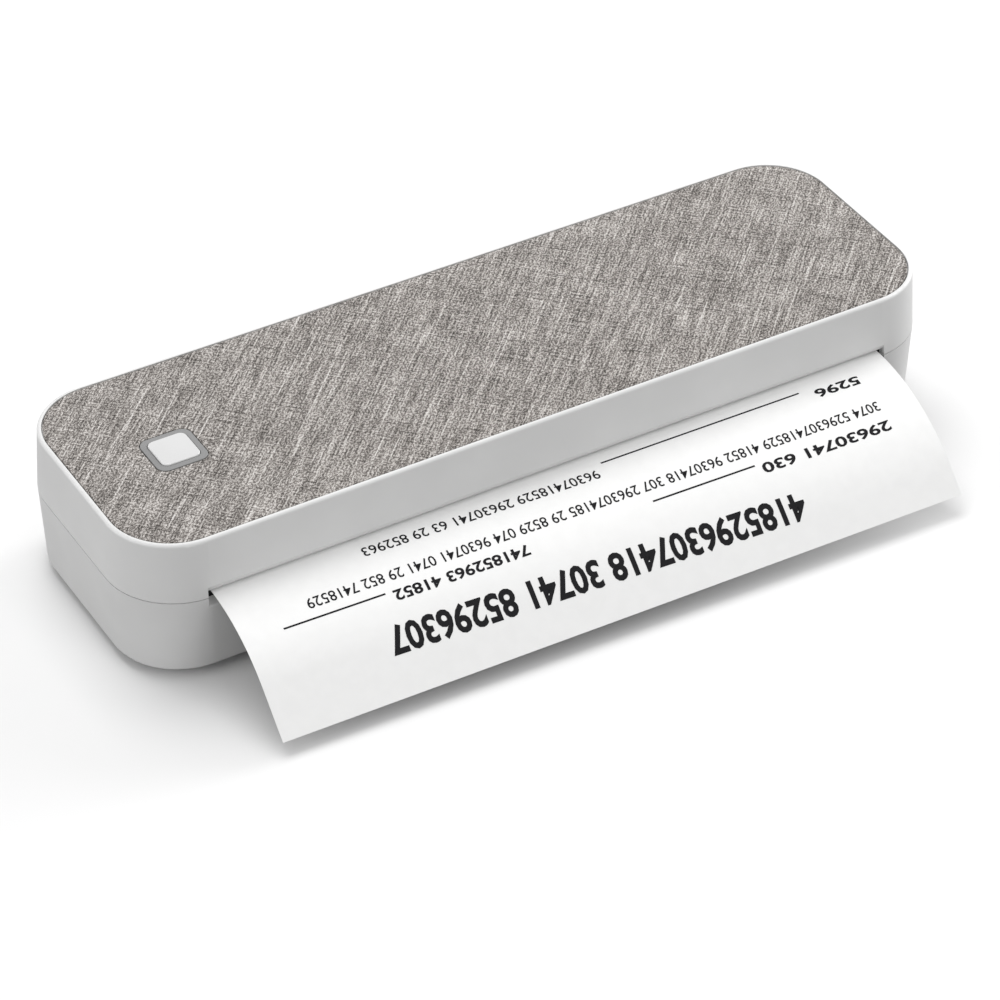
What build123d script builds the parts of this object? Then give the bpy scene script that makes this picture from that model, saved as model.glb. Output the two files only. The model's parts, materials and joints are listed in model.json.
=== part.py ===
from build123d import *
import os
from math import acos, asin, atan2, cos, degrees, pi, radians, sin, sqrt, tan

# A4 portable thermal printer, millimetres.
# X runs along the casing, the sheet leaves towards -Y, +Z is up.
# The pieces are drawn about the middle of the casing, with Z = 0 just under its floor, and are then
# moved together so that the origin lies on the desk under the middle of the printer and its sheet.

# ---- casing ----
seam_length = 252.2
seam_depth = 79.1
seam_radius = 20.7
casing_top = 43.0
base_top = 24.4
base_bottom = 0.8
seam_gap = 0.3
base_draw = 1.05
cover_draw = 1.1
wall = 2.5
floor_thickness = 2.0
roof_thickness = 2.0
base_edge_radius = 0.8
rim_edge_radius = 1.0
lip_height = 1.2
lip_thickness = 1.0
lip_gap = 0.25
hinge_lip_gap = 8.0

# Every joined shape runs this far into its neighbour, and every cutter this far past what it cuts.
merge = 0.5
past = 1.0

# ---- setbacks from the casing's ends ----
bay_end = 18.6
outlet_end = 19.6
post_end = 8.2
foot_end = 28.1
hinge_end = 46.1
catch_end = 10.1
button_end = 30.4
power_board_end = 9.8

# ---- setbacks from the casing's front and rear ----
platen_setback = 13.55
post_setback = 13.85
foot_setback = 13.55
main_board_setback = 11.95
bay_setback = 5.85

# ---- fabric panel and rim ----
rim_width = 1.3
panel_thickness = 1.0
panel_gap = 0.15
panel_recess = 0.15

# ---- paper outlet ----
outlet_lip_z = 26.1
bevel_top_z = 28.35
bevel_depth = 1.2
ramp_low_z = 21.5
ramp_high_z = 22.9
ramp_lip_radius = 0.7

# ---- sheet and roll ----
sheet_side_gap = 2.5
sheet_thickness = 0.1
sheet_gap = 0.15
sheet_z = 25.4
curl_setback = 1.4
curl_radius = 52.9
curl_angle = 45.6
sheet_tail = 8.2
roll_room = 4.7
roll_hole_radius = 4.0
bay_wall = 1.2
bay_floor_z = 4.3

# ---- platen ----
platen_radius = 6.0
platen_end_gap = 1.5
platen_end_chamfer = 0.4
shaft_radius = 2.5
gear_seat_radius = 2.0
gear_seat_flat = 0.5
shaft_end = 1.2
shaft_end_chamfer = 0.3
bush_radius = 4.0
bush_flange_radius = 5.0
bush_flange = 0.8
running_gap = 0.03
fixed_gap = 0.01
well_gap = 0.8
well_wall = 1.2

# ---- chassis ----
chassis_gap = 0.4
deck_top = 24.3
deck_thickness = 1.5
side_plate = 2.0
rib_height = 0.3
rib_width = 1.2
rib_count = 9
post_radius = 2.5

# ---- paper sensor ----
sensor_clear = 14.0
sensor_length = 5.0
sensor_depth = 3.8
sensor_height = 3.3
sensor_gap = 0.1
sensor_flange = 1.5
sensor_flange_thickness = 0.8
sensor_recess = 0.2
lens_radius = 0.9
lens_pitch = 2.6

# ---- gear train ----
gear_module = 0.5
pressure_angle = 20.0
addendum = 0.8
dedendum = 1.25
backlash = 0.12
platen_teeth = 28
idler_small_teeth = 12
idler_large_teeth = 24
pinion_teeth = 10
gear_width = 2.8
gear_gap = 0.4
gear_rim = 1.4
gear_dish_depth = 0.8
hub_wall = 0.7
pinion_hub_length = 1.6
clip_band = 1.1
clip_thickness = 0.35
gear_room_gap = 0.6
mesh_gap = 0.03
idler_angle = -22.0
motor_angle = -14.5
idler_pin_radius = 1.0
pin_head_overhang = 0.9
pin_head_thickness = 0.5

# ---- stepper motor ----
motor_radius = 7.5
motor_length = 19.0
motor_flange = 1.0
motor_edge_radius = 0.8
motor_boss_gap = 0.2
motor_ear_offset = 9.5
motor_ear_radius = 2.1
motor_ear_angle = -50.0
motor_boss_radius = 3.0
motor_shaft_radius = 0.75
motor_shaft_inside = 5.5
motor_screw_length = 2.8
motor_screw_head = 1.2
motor_groove = 0.6
motor_groove_depth = 0.3

# ---- battery and boards ----
cell_radius = 9.15
cell_length = 65.0
cell_front_gap = 0.35
cell_rear_gap = 0.65
cell_offset = 4.5
cell_spacing = 1.0
cell_floor_gap = 0.2
cell_cap_radius = 3.0
cell_cap_height = 1.2
cell_edge_radius = 0.7
saddle_thickness = 2.0
saddle_gap = 0.1
board_thickness = 1.2
main_board_gap = 12.5
main_board_depth = 16.0
main_board_z = 5.5
board_hole_inset = 3.0
standoff_radius = 2.2
power_board_length = 12.0
power_board_depth = 14.0
power_board_y = -10.0
chip_side = 8.0
chip_height = 1.1
plug_length = 16.0
plug_depth = 5.0
plug_height = 3.0
coil_side = 6.0
coil_height = 2.6
capacitor_length = 6.0
capacitor_depth = 4.0
capacitor_height = 3.2

# ---- USB-C socket ----
usb_width = 8.94
usb_height = 3.26
usb_length = 7.35
usb_shell = 0.3
usb_mouth_inset = 0.4
usb_wall_gap = 0.3
usb_recess_width = 12.6
usb_recess_height = 6.8
usb_recess_depth = 0.8
usb_tongue_width = 6.7
usb_tongue_thickness = 0.7
usb_tongue_inset = 0.7
usb_back = 1.0

# ---- hinge ----
hinge_radius = 2.35
hinge_z = 24.55
hinge_pin_radius = 1.0
ear_width = 5.0
lug_width = 10.0
ear_gap = 0.35
hinge_clear = 0.35

# ---- spring catches ----
catch_y = 6.0
tongue_width = 8.0
tongue_thickness = 1.6
tongue_length = 9.0
bulge_radius = 1.2
catch_strip = 0.3
catch_width = 7.0
catch_gap = 0.3
catch_depth = 6.5
catch_foot = 1.6
catch_opening = 0.8
catch_jaw = 2.4
catch_slot_front = 1.4
catch_slot_rear = 0.6
catch_room = 3.6

# ---- cover liner ----
liner_z = 29.0
liner_thickness = 1.2
liner_gap = 0.4
hood_gap = 1.0
head_window_end = 4.5
head_window_gap = 2.0

# ---- print head ----
head_gap = 0.15
glaze_thickness = 0.1
glaze_width = 1.4
ceramic_thickness = 1.0
ceramic_depth = 10.0
head_end_gap = 1.0
driver_depth = 3.8
driver_thickness = 0.8
driver_inset = 3.0
sink_ahead = 6.5
sink_behind = 10.5
sink_thickness = 5.0
fin_depth = 2.0
fin_pitch = 3.0
fin_groove = 1.6
peg_radius = 1.2
peg_length = 3.4
head_lift = 0.8

# ---- head bracket and springs ----
bracket_z = 36.0
bracket_thickness = 1.0
bracket_reach = 2.5
flange_drop = 9.4
flange_depth = 8.0
bracket_screw_inset = 30.0
spring_strip = 0.3
spring_half_length = 12.0
spring_width = 8.0
spring_end = 51.5
spring_gap = 0.05

# ---- power button ----
button_y = 0.2
cap_side = 11.4
cap_radius = 2.0
cap_proud = 0.3
cap_gap = 0.2
bezel_side = 15.0
bezel_radius = 3.0
bezel_proud = 0.1
sleeve_wall = 0.6
sleeve_drop = 2.4
retainer_side = 13.4
retainer_thickness = 0.7
button_travel = 0.5
stem_radius = 1.5
switch_side = 6.0
switch_height = 3.5
button_board_z = 32.4
button_board_length = 28.0
button_board_depth = 14.5
button_board_offset = 1.5
plunger_inside = 1.6

# ---- screws and feet ----
screw_radius = 1.0
screw_gap = 0.01
screw_head_radius = 2.2
screw_head_height = 1.4
screw_length = 8.0
cover_screw_length = 6.0
short_screw_length = 4.0
board_screw_length = 2.8
screw_clearance = 0.2
boss_hole_depth = 6.0
roof_hole_depth = 0.6
driver_slot = 0.5
boss_radius = 3.0
floor_boss_radius = 4.2
floor_boss_height = 2.0
counterbore_radius = 2.5
counterbore_depth = 2.2
foot_radius = 5.0
foot_height = 3.0
foot_recess = 0.5
foot_gap = 0.15
foot_edge_radius = 0.4

# ---- places worked out from the sizes above ----
cover_bottom = base_top + seam_gap
casing_end = seam_length / 2
rear_y = seam_depth / 2
front_y = -rear_y
bay_half_length = casing_end - bay_end
outlet_length = 2 * (casing_end - outlet_end)
sheet_width = 2 * (bay_half_length - sheet_side_gap)
platen_half_length = bay_half_length - platen_end_gap
head_half_length = bay_half_length - head_end_gap
bracket_half_length = bay_half_length + bracket_reach
bracket_screw_x = bracket_half_length - bracket_screw_inset
head_window_half = bay_half_length + head_window_end
main_board_length = 2 * (bay_half_length - main_board_gap)
rib_pitch = sheet_width / (rib_count + 1.5)
spring_pitch = head_half_length - spring_end
post_x = casing_end - post_end
foot_x = casing_end - foot_end
hinge_x = casing_end - hinge_end
catch_x = casing_end - catch_end
button_x = button_end - casing_end
power_board_x = casing_end - power_board_end
post_y = rear_y - post_setback
foot_y = rear_y - foot_setback
platen_y = front_y + platen_setback
main_board_y = front_y + main_board_setback
floor_z = base_bottom + floor_thickness
desk_z = base_bottom - foot_height
panel_top = casing_top - panel_recess
panel_seat = panel_top - panel_thickness
roof_z = panel_seat - roof_thickness
panel_length = seam_length - 2 * (cover_draw + rim_width)
panel_depth = seam_depth - 2 * (cover_draw + rim_width)
panel_radius = seam_radius - cover_draw - rim_width
deck_bottom = deck_top - deck_thickness
sheet_under = sheet_z - sheet_thickness / 2
platen_z = sheet_under - sheet_gap - platen_radius
platen_at = (platen_y, platen_z)
well_radius = platen_radius + well_gap
cell_y = platen_y + well_radius + well_wall + cell_front_gap + cell_radius
cells_length = 2 * cell_length + cell_spacing
cell_start_x = -cells_length / 2 - cell_offset
sensor_x = cell_start_x + cells_length + sensor_clear
bay_front = cell_y + cell_radius + cell_rear_gap
bay_rear = rear_y - bay_setback
bay_y = (bay_front + bay_rear) / 2
bay_radius = (bay_rear - bay_front) / 2 - bay_wall
bay_z = bay_floor_z + bay_radius
hood_radius = bay_radius + hood_gap
roll_radius = bay_radius - roll_room
roll_z = sheet_under - sheet_gap - roll_radius
roll_at = (bay_y, roll_z)
hinge_y = rear_y - hinge_radius
relief_half = casing_end - seam_radius + sqrt(seam_radius**2 - (seam_radius - hinge_radius) ** 2)
side_inner = bay_half_length
side_outer = bay_half_length + side_plate
plane_a = -(side_outer + gear_gap)
plane_b = plane_a - gear_width - gear_gap
pitch = gear_module / 2
idler_reach = pitch * (platen_teeth + idler_small_teeth) + mesh_gap
motor_reach = pitch * (idler_large_teeth + pinion_teeth) + mesh_gap
idler_at = (
    platen_y + idler_reach * cos(radians(idler_angle)),
    platen_z + idler_reach * sin(radians(idler_angle)),
)
motor_at = (
    idler_at[0] + motor_reach * cos(radians(motor_angle)),
    idler_at[1] + motor_reach * sin(radians(motor_angle)),
)
cell_z = floor_z + cell_floor_gap + cell_radius
glaze_z = sheet_z + sheet_thickness / 2 + head_gap
ceramic_z = glaze_z + glaze_thickness
sink_z = ceramic_z + ceramic_thickness
sink_top = sink_z + sink_thickness
sink_front = platen_y - sink_ahead
sink_rear = platen_y + sink_behind
head_window_rear = sink_rear + head_window_gap
peg_y = (sink_front + sink_rear) / 2
peg_z = sink_z + sink_thickness / 2
sleeve_z = panel_seat - sleeve_drop
retainer_top = sleeve_z - 0.2
plunger_top = retainer_top - retainer_thickness - 1.0
usb_z = main_board_z + board_thickness + usb_height / 2
boss_points = [(side * post_x, end * post_y) for side in (-1, 1) for end in (-1, 1)]


# ---- common shapes ----
def base_inset(z):
    """How far the base's wall has drawn in at a height."""
    return base_draw * (base_top - z) / (base_top - base_bottom)


def cover_inset(z):
    """How far the cover's wall has drawn in at a height."""
    return cover_draw * (z - cover_bottom) / (casing_top - cover_bottom)


def casing_block(inset, margin, low, high):
    """The casing's drafted outline between two heights, margin inside its surface."""
    start = inset(low) + margin
    plan = RectangleRounded(seam_length - 2 * start, seam_depth - 2 * start, seam_radius - start)
    draft = degrees(atan2(inset(high) - inset(low), high - low))
    return extrude(Plane.XY.offset(low) * plan, amount=high - low, taper=draft)


def block(x, y, z):
    """A box given by its low and high values along X, Y and Z."""
    size = Box(x[1] - x[0], y[1] - y[0], z[1] - z[0])
    return Pos((x[0] + x[1]) / 2, (y[0] + y[1]) / 2, (z[0] + z[1]) / 2) * size


def rod(radius, x0, x1, at):
    """A round bar along X, its axis at a (y, z) point."""
    bar = Rot(0, 90, 0) * Cylinder(radius, abs(x1 - x0))
    return Pos((x0 + x1) / 2, at[0], at[1]) * bar


def disc(radius, x, y, low, high):
    """An upright round bar between two heights."""
    return Pos(x, y, (low + high) / 2) * Cylinder(radius, high - low)


def side_profile(points, x0, x1):
    """A (y, z) outline carried along X."""
    face = make_face(Plane.YZ * Polyline(*points, close=True))
    return Pos(x0, 0, 0) * extrude(face, amount=x1 - x0, dir=(1, 0, 0))


def rounded_tile(side_x, side_y, radius, x, y, low, high):
    """An upright tile with rounded plan corners."""
    plan = Pos(x, y, low) * RectangleRounded(side_x, side_y, radius)
    return extrude(plan, amount=high - low)


def screw(x, y, seat, length, up):
    """A cross-headed screw whose head bears at seat and whose shank goes up or down."""
    way = 1 if up else -1
    shank = disc(screw_radius - screw_gap, x, y, *sorted((seat, seat + way * length)))
    head = disc(screw_head_radius, x, y, *sorted((seat, seat - way * screw_head_height)))
    head = fillet(head.faces().sort_by(Axis.Z)[0 if up else -1].edges(), screw_head_height / 3)
    outside = seat - way * screw_head_height
    for spin in (0, 90):
        slot = Box(screw_head_radius * 1.2, driver_slot, screw_head_height)
        head -= Pos(x, y, outside) * Rot(0, 0, spin) * slot
    return head + shank


# ---- base casing ----
def hinge_ears():
    """The four ears on the base that hold the two hinge pins."""
    ears = []
    for side in (-1, 1):
        for end in (-1, 1):
            middle = side * hinge_x + end * (lug_width / 2 + ear_gap + ear_width / 2)
            x0, x1 = middle - ear_width / 2, middle + ear_width / 2
            web = block(
                (x0, x1),
                (hinge_y - hinge_radius, hinge_y + hinge_radius / 5),
                (hinge_z - 2.5 * hinge_radius, hinge_z),
            )
            ears.append(rod(hinge_radius, x0, x1, (hinge_y, hinge_z)) + web)
    return ears


def outlet_ramp():
    """What is cut from the base's front wall so that the sheet can hang over its rounded lip."""
    lip_y = front_y + base_inset(ramp_low_z)
    inner_y = front_y + wall
    rise = atan2(ramp_high_z - ramp_low_z, inner_y - lip_y)
    y = lip_y + ramp_lip_radius
    z = ramp_low_z + ramp_lip_radius * (tan(rise) - 1 / cos(rise))
    arc = [
        (y + ramp_lip_radius * cos(turn), z + ramp_lip_radius * sin(turn))
        for turn in (pi, 3 * pi / 4 + rise / 2, pi / 2 + rise)
    ]
    above = base_top + lip_height + 1
    outside = lip_y - wall
    beyond = inner_y + wall
    ahead = [(inner_y, ramp_high_z), (beyond, ramp_high_z), (beyond, above), (outside, above), (outside, z)]
    rest = Polyline(arc[2], *ahead, arc[0])
    face = make_face(Plane.YZ * (ThreePointArc(*arc) + rest))
    return extrude(face, amount=outlet_length / 2, both=True)


def usb_opening():
    """The hole and the finger recess for the plug in the right-hand wall."""
    hole = RectangleRounded(usb_width + 2 * usb_wall_gap, usb_height + 2 * usb_wall_gap, usb_height / 2)
    recess = RectangleRounded(usb_recess_width, usb_recess_height, usb_recess_height / 2.1)
    outside = seam_length / 2 - base_inset(usb_z)
    across = Plane(origin=(outside + 1, power_board_y, usb_z), x_dir=(0, 1, 0), z_dir=(-1, 0, 0))
    return extrude(across * hole, amount=wall + 4) + extrude(across * recess, amount=1 + usb_recess_depth)


def base_shell():
    shell = casing_block(base_inset, 0, base_bottom, base_top)
    shell = fillet(shell.faces().sort_by(Axis.Z)[0].edges(), base_edge_radius)
    shell -= casing_block(base_inset, wall, floor_z, base_top)
    lip = casing_block(base_inset, wall - lip_thickness, base_top - 1, base_top + lip_height)
    lip -= casing_block(base_inset, wall, base_top - 1, base_top + lip_height)
    lip -= block((-outlet_length / 2, outlet_length / 2), (-seam_depth, 0), (0, casing_top))
    lip -= block((-seam_length, seam_length), (hinge_y - hinge_lip_gap, seam_depth), (0, casing_top))
    shell += lip
    shell -= outlet_ramp()
    shell -= block(
        (-relief_half - hinge_clear, relief_half + hinge_clear),
        (hinge_y - hinge_radius, seam_depth),
        (hinge_z - hinge_radius - hinge_clear, casing_top),
    )
    for ear in hinge_ears():
        shell += ear
    for side in (-1, 1):
        reach = lug_width / 2 + ear_gap + ear_width + 1
        shell -= rod(
            hinge_pin_radius + fixed_gap, side * hinge_x - reach, side * hinge_x + reach, (hinge_y, hinge_z)
        )
    for x, y in boss_points:
        shell += disc(floor_boss_radius, x, y, floor_z, floor_z + floor_boss_height)
        shell -= disc(screw_radius + screw_clearance, x, y, 0, floor_z + floor_boss_height)
        shell -= disc(counterbore_radius, x, y, 0, base_bottom + counterbore_depth)
    for side in (-1, 1):
        for end in (-1, 1):
            recess = disc(foot_radius + foot_gap, side * foot_x, end * foot_y, 0, base_bottom + foot_recess)
            shell -= recess
    for x, y in board_holes():
        shell += disc(standoff_radius, x, y, floor_z, main_board_z)
        shell -= disc(screw_radius, x, y, floor_z, main_board_z)
    for x in saddle_places():
        saddle = block(
            (x - saddle_thickness / 2, x + saddle_thickness / 2),
            (cell_y - cell_radius, cell_y + cell_radius),
            (floor_z, cell_z - cell_radius / 3),
        )
        shell += saddle - rod(cell_radius + saddle_gap, x - 5, x + 5, (cell_y, cell_z))
    return shell - usb_opening()


def saddle_places():
    """X of the ribs that the battery cells lie on."""
    places = []
    for cell in range(2):
        start = cell_start_x + cell * (cell_length + cell_spacing)
        places += [start + cell_length / 5, start + cell_length * 4 / 5]
    return places


def board_holes():
    """The screw places of the main board and of the power board."""
    half_length = main_board_length / 2 - board_hole_inset
    half_depth = main_board_depth / 2 - board_hole_inset
    holes = [
        (side * half_length, main_board_y + end * half_depth) for side in (-1, 1) for end in (-1, 1)
    ]
    end_x = power_board_x - power_board_length / 2 + board_hole_inset
    far = power_board_depth / 2 - board_hole_inset / 1.4
    return holes + [(end_x, power_board_y + end * far) for end in (-1, 1)]


def rubber_feet():
    feet = []
    for side in (-1, 1):
        for end in (-1, 1):
            foot = disc(foot_radius, side * foot_x, end * foot_y, desk_z, base_bottom + foot_recess)
            feet.append(fillet(foot.faces().sort_by(Axis.Z)[0].edges(), foot_edge_radius))
    return feet


def base_screws():
    seat = base_bottom + counterbore_depth
    return [screw(x, y, seat, screw_length, True) for x, y in boss_points]


# ---- chassis ----
def trough(radius, at, gap, high):
    """A round-bottomed channel along X with upright sides, open towards high."""
    body = rod(radius, -side_inner - gap, side_inner + gap, at)
    upper = block(
        (-side_inner - gap, side_inner + gap), (at[0] - radius, at[0] + radius), (at[1], high)
    )
    return body + upper


def deck_plate():
    """The chassis's top plate, cut back from the hinge and drawn to a thin edge behind the outlet."""
    deck = casing_block(base_inset, wall + chassis_gap, deck_bottom, deck_top)
    nose = front_y + wall + chassis_gap
    above = deck_top + 1
    slope = (deck_top - ramp_high_z) / deck_thickness
    edge = [
        (nose - 1, deck_bottom - 1),
        (nose, ramp_high_z),
        (nose + deck_thickness + 1 / slope, above),
        (nose - 1, above),
    ]
    deck -= side_profile(edge, -side_inner, side_inner)
    rear = bay_y + bay_radius + bay_wall
    return deck - block((-seam_length, seam_length), (rear, seam_depth), (0, casing_top))


def chassis():
    """The inner frame: deck, side plates, platen well and roll bay in one moulding."""
    frame = deck_plate()
    for side in (-1, 1):
        ends = sorted((side * side_inner, side * side_outer))
        frame += block(
            ends, (platen_y - well_radius - well_wall, bay_y + bay_radius + bay_wall), (floor_z, deck_top)
        )
    channels = trough(well_radius + well_wall, platen_at, merge, deck_bottom + merge)
    channels += trough(bay_radius + bay_wall, (bay_y, bay_z), merge, deck_bottom + merge)
    frame += channels & block((-seam_length, seam_length), (-seam_depth, seam_depth), (floor_z, deck_top))
    frame -= trough(well_radius, platen_at, 0, casing_top)
    frame -= trough(bay_radius, (bay_y, bay_z), 0, casing_top)
    for x, y in boss_points:
        frame += disc(post_radius, x, y, floor_z + floor_boss_height, deck_bottom + merge)
        frame -= disc(screw_radius, x, y, floor_z, floor_z + floor_boss_height + screw_length)
    for index in range(rib_count):
        x = (index - (rib_count - 1) / 2) * rib_pitch
        frame += block(
            (x - rib_width / 2, x + rib_width / 2),
            (platen_y + well_radius + 1, bay_y - bay_radius - 1),
            (deck_top - merge, deck_top + rib_height),
        )
    for side in (-1, 1):
        ends = sorted((side * (side_inner - merge), side * (side_outer + merge)))
        slot = bush_radius + fixed_gap
        frame -= rod(slot, *ends, platen_at)
        frame -= block(ends, (platen_y - slot, platen_y + slot), (platen_z, casing_top))
        frame -= block(
            sorted((side * (catch_x - catch_room), side * (catch_x + catch_room))),
            (catch_y - tongue_width / 2 - catch_slot_front, catch_y + tongue_width / 2 + catch_slot_rear),
            (deck_bottom - 1, casing_top),
        )
    gear_room = pitch * (platen_teeth + 2) + gear_room_gap
    frame -= block(
        (plane_a - gear_width - merge, plane_a),
        (platen_y - gear_room, platen_y + gear_room),
        (deck_bottom - 1, casing_top),
    )
    frame -= rod(idler_pin_radius + fixed_gap, -side_outer - 1, -side_inner + 1, idler_at)
    frame -= rod(motor_boss_radius + motor_boss_gap, -side_outer - past, -side_inner + past, motor_at)
    for ear in motor_ears():
        frame -= rod(screw_radius, -side_outer - 1, -side_inner + 1, ear)
    return frame - sensor_window()


def sensor_window():
    """The window in the deck that the paper sensor looks through."""
    half_length = sensor_length / 2 + sensor_gap
    half_depth = sensor_depth / 2 + sensor_gap
    return block(
        (sensor_x - half_length, sensor_x + half_length),
        (cell_y - half_depth, cell_y + half_depth),
        (deck_bottom - 1, deck_top + 1),
    )


def paper_sensor():
    """A reflective sensor: a small block with two round lenses, hung in the deck's window."""
    half_length = sensor_length / 2
    half_depth = sensor_depth / 2
    top = deck_top - sensor_recess
    body = block(
        (sensor_x - half_length, sensor_x + half_length),
        (cell_y - half_depth, cell_y + half_depth),
        (top - sensor_height, top),
    )
    flange = block(
        (sensor_x - half_length - sensor_flange, sensor_x + half_length + sensor_flange),
        (cell_y - half_depth - sensor_flange / 2, cell_y + half_depth + sensor_flange / 2),
        (deck_bottom - sensor_flange_thickness, deck_bottom),
    )
    for way in (-1, 1):
        body += disc(lens_radius, sensor_x + way * lens_pitch / 2, cell_y, top, deck_top)
    return body + flange


def platen_bushes():
    bushes = []
    for side in (-1, 1):
        sleeve = rod(bush_radius, side * side_inner, side * side_outer, platen_at)
        flange = rod(bush_flange_radius, side * (side_inner - bush_flange), side * side_inner, platen_at)
        hole = rod(shaft_radius + running_gap, side * (side_inner - 2), side * (side_outer + 2), platen_at)
        bushes.append(sleeve + flange - hole)
    return bushes


# ---- platen and gears ----
def platen_shaft():
    """A steel core with a stepped, flatted seat for the gear at its left end."""
    end = plane_a - gear_width - 0.4
    bar = rod(shaft_radius, -side_outer, side_outer + shaft_end, platen_at)
    seat = rod(gear_seat_radius, end, -side_outer, platen_at)
    seat -= gear_flat(end - 1, -side_outer, 0)
    bar = chamfer(bar.faces().sort_by(Axis.X)[-1].edges(), shaft_end_chamfer)
    return bar + seat


def gear_flat(x0, x1, gap):
    """The slice that makes the gear's seat a D, on the upper side of the shaft."""
    low = platen_z + gear_seat_radius - gear_seat_flat + gap
    return block(sorted((x0, x1)), (platen_y - 5, platen_y + 5), (low, low + 5))


def platen_rubber():
    sleeve = rod(platen_radius, -platen_half_length, platen_half_length, platen_at)
    ends = [sleeve.faces().sort_by(Axis.X)[0], sleeve.faces().sort_by(Axis.X)[-1]]
    sleeve = chamfer([edge for face in ends for edge in face.edges()], platen_end_chamfer)
    return sleeve - rod(shaft_radius + fixed_gap, -platen_half_length - 1, platen_half_length + 1, platen_at)


def gear_outline(teeth, first_tooth):
    """The (y, z) outline of an involute gear with one tooth centred on the angle first_tooth."""
    pitch_radius = pitch * teeth
    base_radius = pitch_radius * cos(radians(pressure_angle))
    tip = pitch_radius + addendum * gear_module
    root = pitch_radius - dedendum * gear_module
    half_tooth = pi / 2 / teeth - backlash / 2 / pitch_radius
    flank_start = max(base_radius, root)
    radii = [flank_start + (tip - flank_start) * step / 3 for step in range(4)]

    def half_angle(radius):
        turn = acos(min(1, base_radius / radius))
        at_pitch = radians(pressure_angle)
        return half_tooth + tan(at_pitch) - at_pitch - (tan(turn) - turn)

    flank = [(root, half_angle(flank_start))] if root < base_radius else []
    flank += [(radius, half_angle(radius)) for radius in radii]
    points = []
    for tooth in range(teeth):
        middle = first_tooth + 2 * pi * tooth / teeth
        points += [(r * cos(middle - a), r * sin(middle - a)) for r, a in flank]
        points += [(r * cos(middle + a), r * sin(middle + a)) for r, a in reversed(flank)]
    return points


def gear(teeth, at, x_left, first_tooth):
    points = [(at[0] + y, at[1] + z) for y, z in gear_outline(teeth, first_tooth)]
    return side_profile(points, x_left, x_left + gear_width)


def mating_tooth(teeth, first_tooth, mate_teeth, line_angle):
    """The first tooth angle of a mate that lies along line_angle, so that the two are in mesh."""
    return line_angle + pi + (pi - teeth * (first_tooth - line_angle)) / mate_teeth


idler_tooth = mating_tooth(platen_teeth, 0, idler_small_teeth, radians(idler_angle))
pinion_tooth = mating_tooth(idler_large_teeth, idler_tooth, pinion_teeth, radians(motor_angle))


def platen_gear():
    left = plane_a - gear_width
    wheel = gear(platen_teeth, platen_at, left, 0)
    bore = rod(gear_seat_radius + fixed_gap, left - 1, plane_a + 1, platen_at)
    bore -= gear_flat(left - 1, plane_a + 1, fixed_gap)
    dish = rod(pitch * platen_teeth - gear_rim, left - past, left + gear_dish_depth, platen_at)
    dish -= rod(gear_seat_radius + gear_rim, left - 2 * past, left + past, platen_at)
    return wheel - bore - dish


def platen_clip():
    """The ring that keeps the gear on its seat."""
    left = plane_a - gear_width - 0.4
    ring = rod(gear_seat_radius + clip_band, left, left + clip_thickness, platen_at)
    return ring - rod(gear_seat_radius + fixed_gap, left - 1, left + 1, platen_at)


def idler_gear():
    """A compound gear: the small wheel drives the platen's, the large one meets the pinion."""
    small = gear(idler_small_teeth, idler_at, plane_a - gear_width, idler_tooth)
    large = gear(idler_large_teeth, idler_at, plane_b - gear_width, idler_tooth)
    hub = rod(pitch * idler_small_teeth - hub_wall, plane_b - gear_width, plane_a, idler_at)
    bore = rod(idler_pin_radius + running_gap, plane_b - gear_width - 1, plane_a + 1, idler_at)
    return small + hub + large - bore


def idler_pin():
    """The headed pin that the compound gear turns on, pressed into the side plate."""
    end = plane_b - gear_width - 0.3
    pin = rod(idler_pin_radius, end, -side_inner, idler_at)
    return pin + rod(idler_pin_radius + pin_head_overhang, end - pin_head_thickness, end, idler_at)


# ---- motor ----
def motor_ears():
    """The (y, z) places of the motor's two screws."""
    turn = radians(motor_ear_angle)
    y, z = motor_ear_offset * cos(turn), motor_ear_offset * sin(turn)
    return [(motor_at[0] + way * y, motor_at[1] + way * z) for way in (-1, 1)]


def stepper_motor():
    """A round can with its oval flange against the left side plate."""
    face = -side_inner
    can = rod(motor_radius, face + motor_flange, face + motor_flange + motor_length, motor_at)
    can = fillet(can.faces().sort_by(Axis.X)[-1].edges(), motor_edge_radius)
    for way in (0.35, 0.65):
        middle = face + motor_flange + motor_length * way
        half = motor_groove / 2
        ring = rod(motor_radius + 1, middle - half, middle + half, motor_at)
        can -= ring - rod(motor_radius - motor_groove_depth, middle - 1, middle + 1, motor_at)
    flange = rod(motor_radius, face, face + motor_flange, motor_at)
    for ear in motor_ears():
        flange += rod(motor_ear_radius, face, face + motor_flange, ear)
    flange += rod(motor_boss_radius, face - side_plate, face, motor_at)
    for ear in motor_ears():
        flange -= rod(screw_radius + 0.1, face - 1, face + motor_flange + 1, ear)
    bore_end = face + motor_shaft_inside + 0.5
    return can + flange - rod(motor_shaft_radius + running_gap, -side_outer - 1, bore_end, motor_at)


def motor_screws():
    """The motor's two screws, heads on the flange, shanks in the side plate."""
    face = -side_inner + motor_flange
    screws = []
    for y, z in motor_ears():
        shank = rod(screw_radius - screw_gap, face - motor_screw_length, face, (y, z))
        head = rod(motor_ear_radius - 0.2, face, face + motor_screw_head, (y, z))
        slot = Box(motor_screw_head, driver_slot, motor_ear_radius * 1.3)
        slot = Pos(face + motor_screw_head, y, z) * slot
        screws.append(head - slot + shank)
    return screws


def motor_shaft():
    return rod(motor_shaft_radius, plane_b - gear_width, -side_inner + motor_shaft_inside, motor_at)


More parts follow.
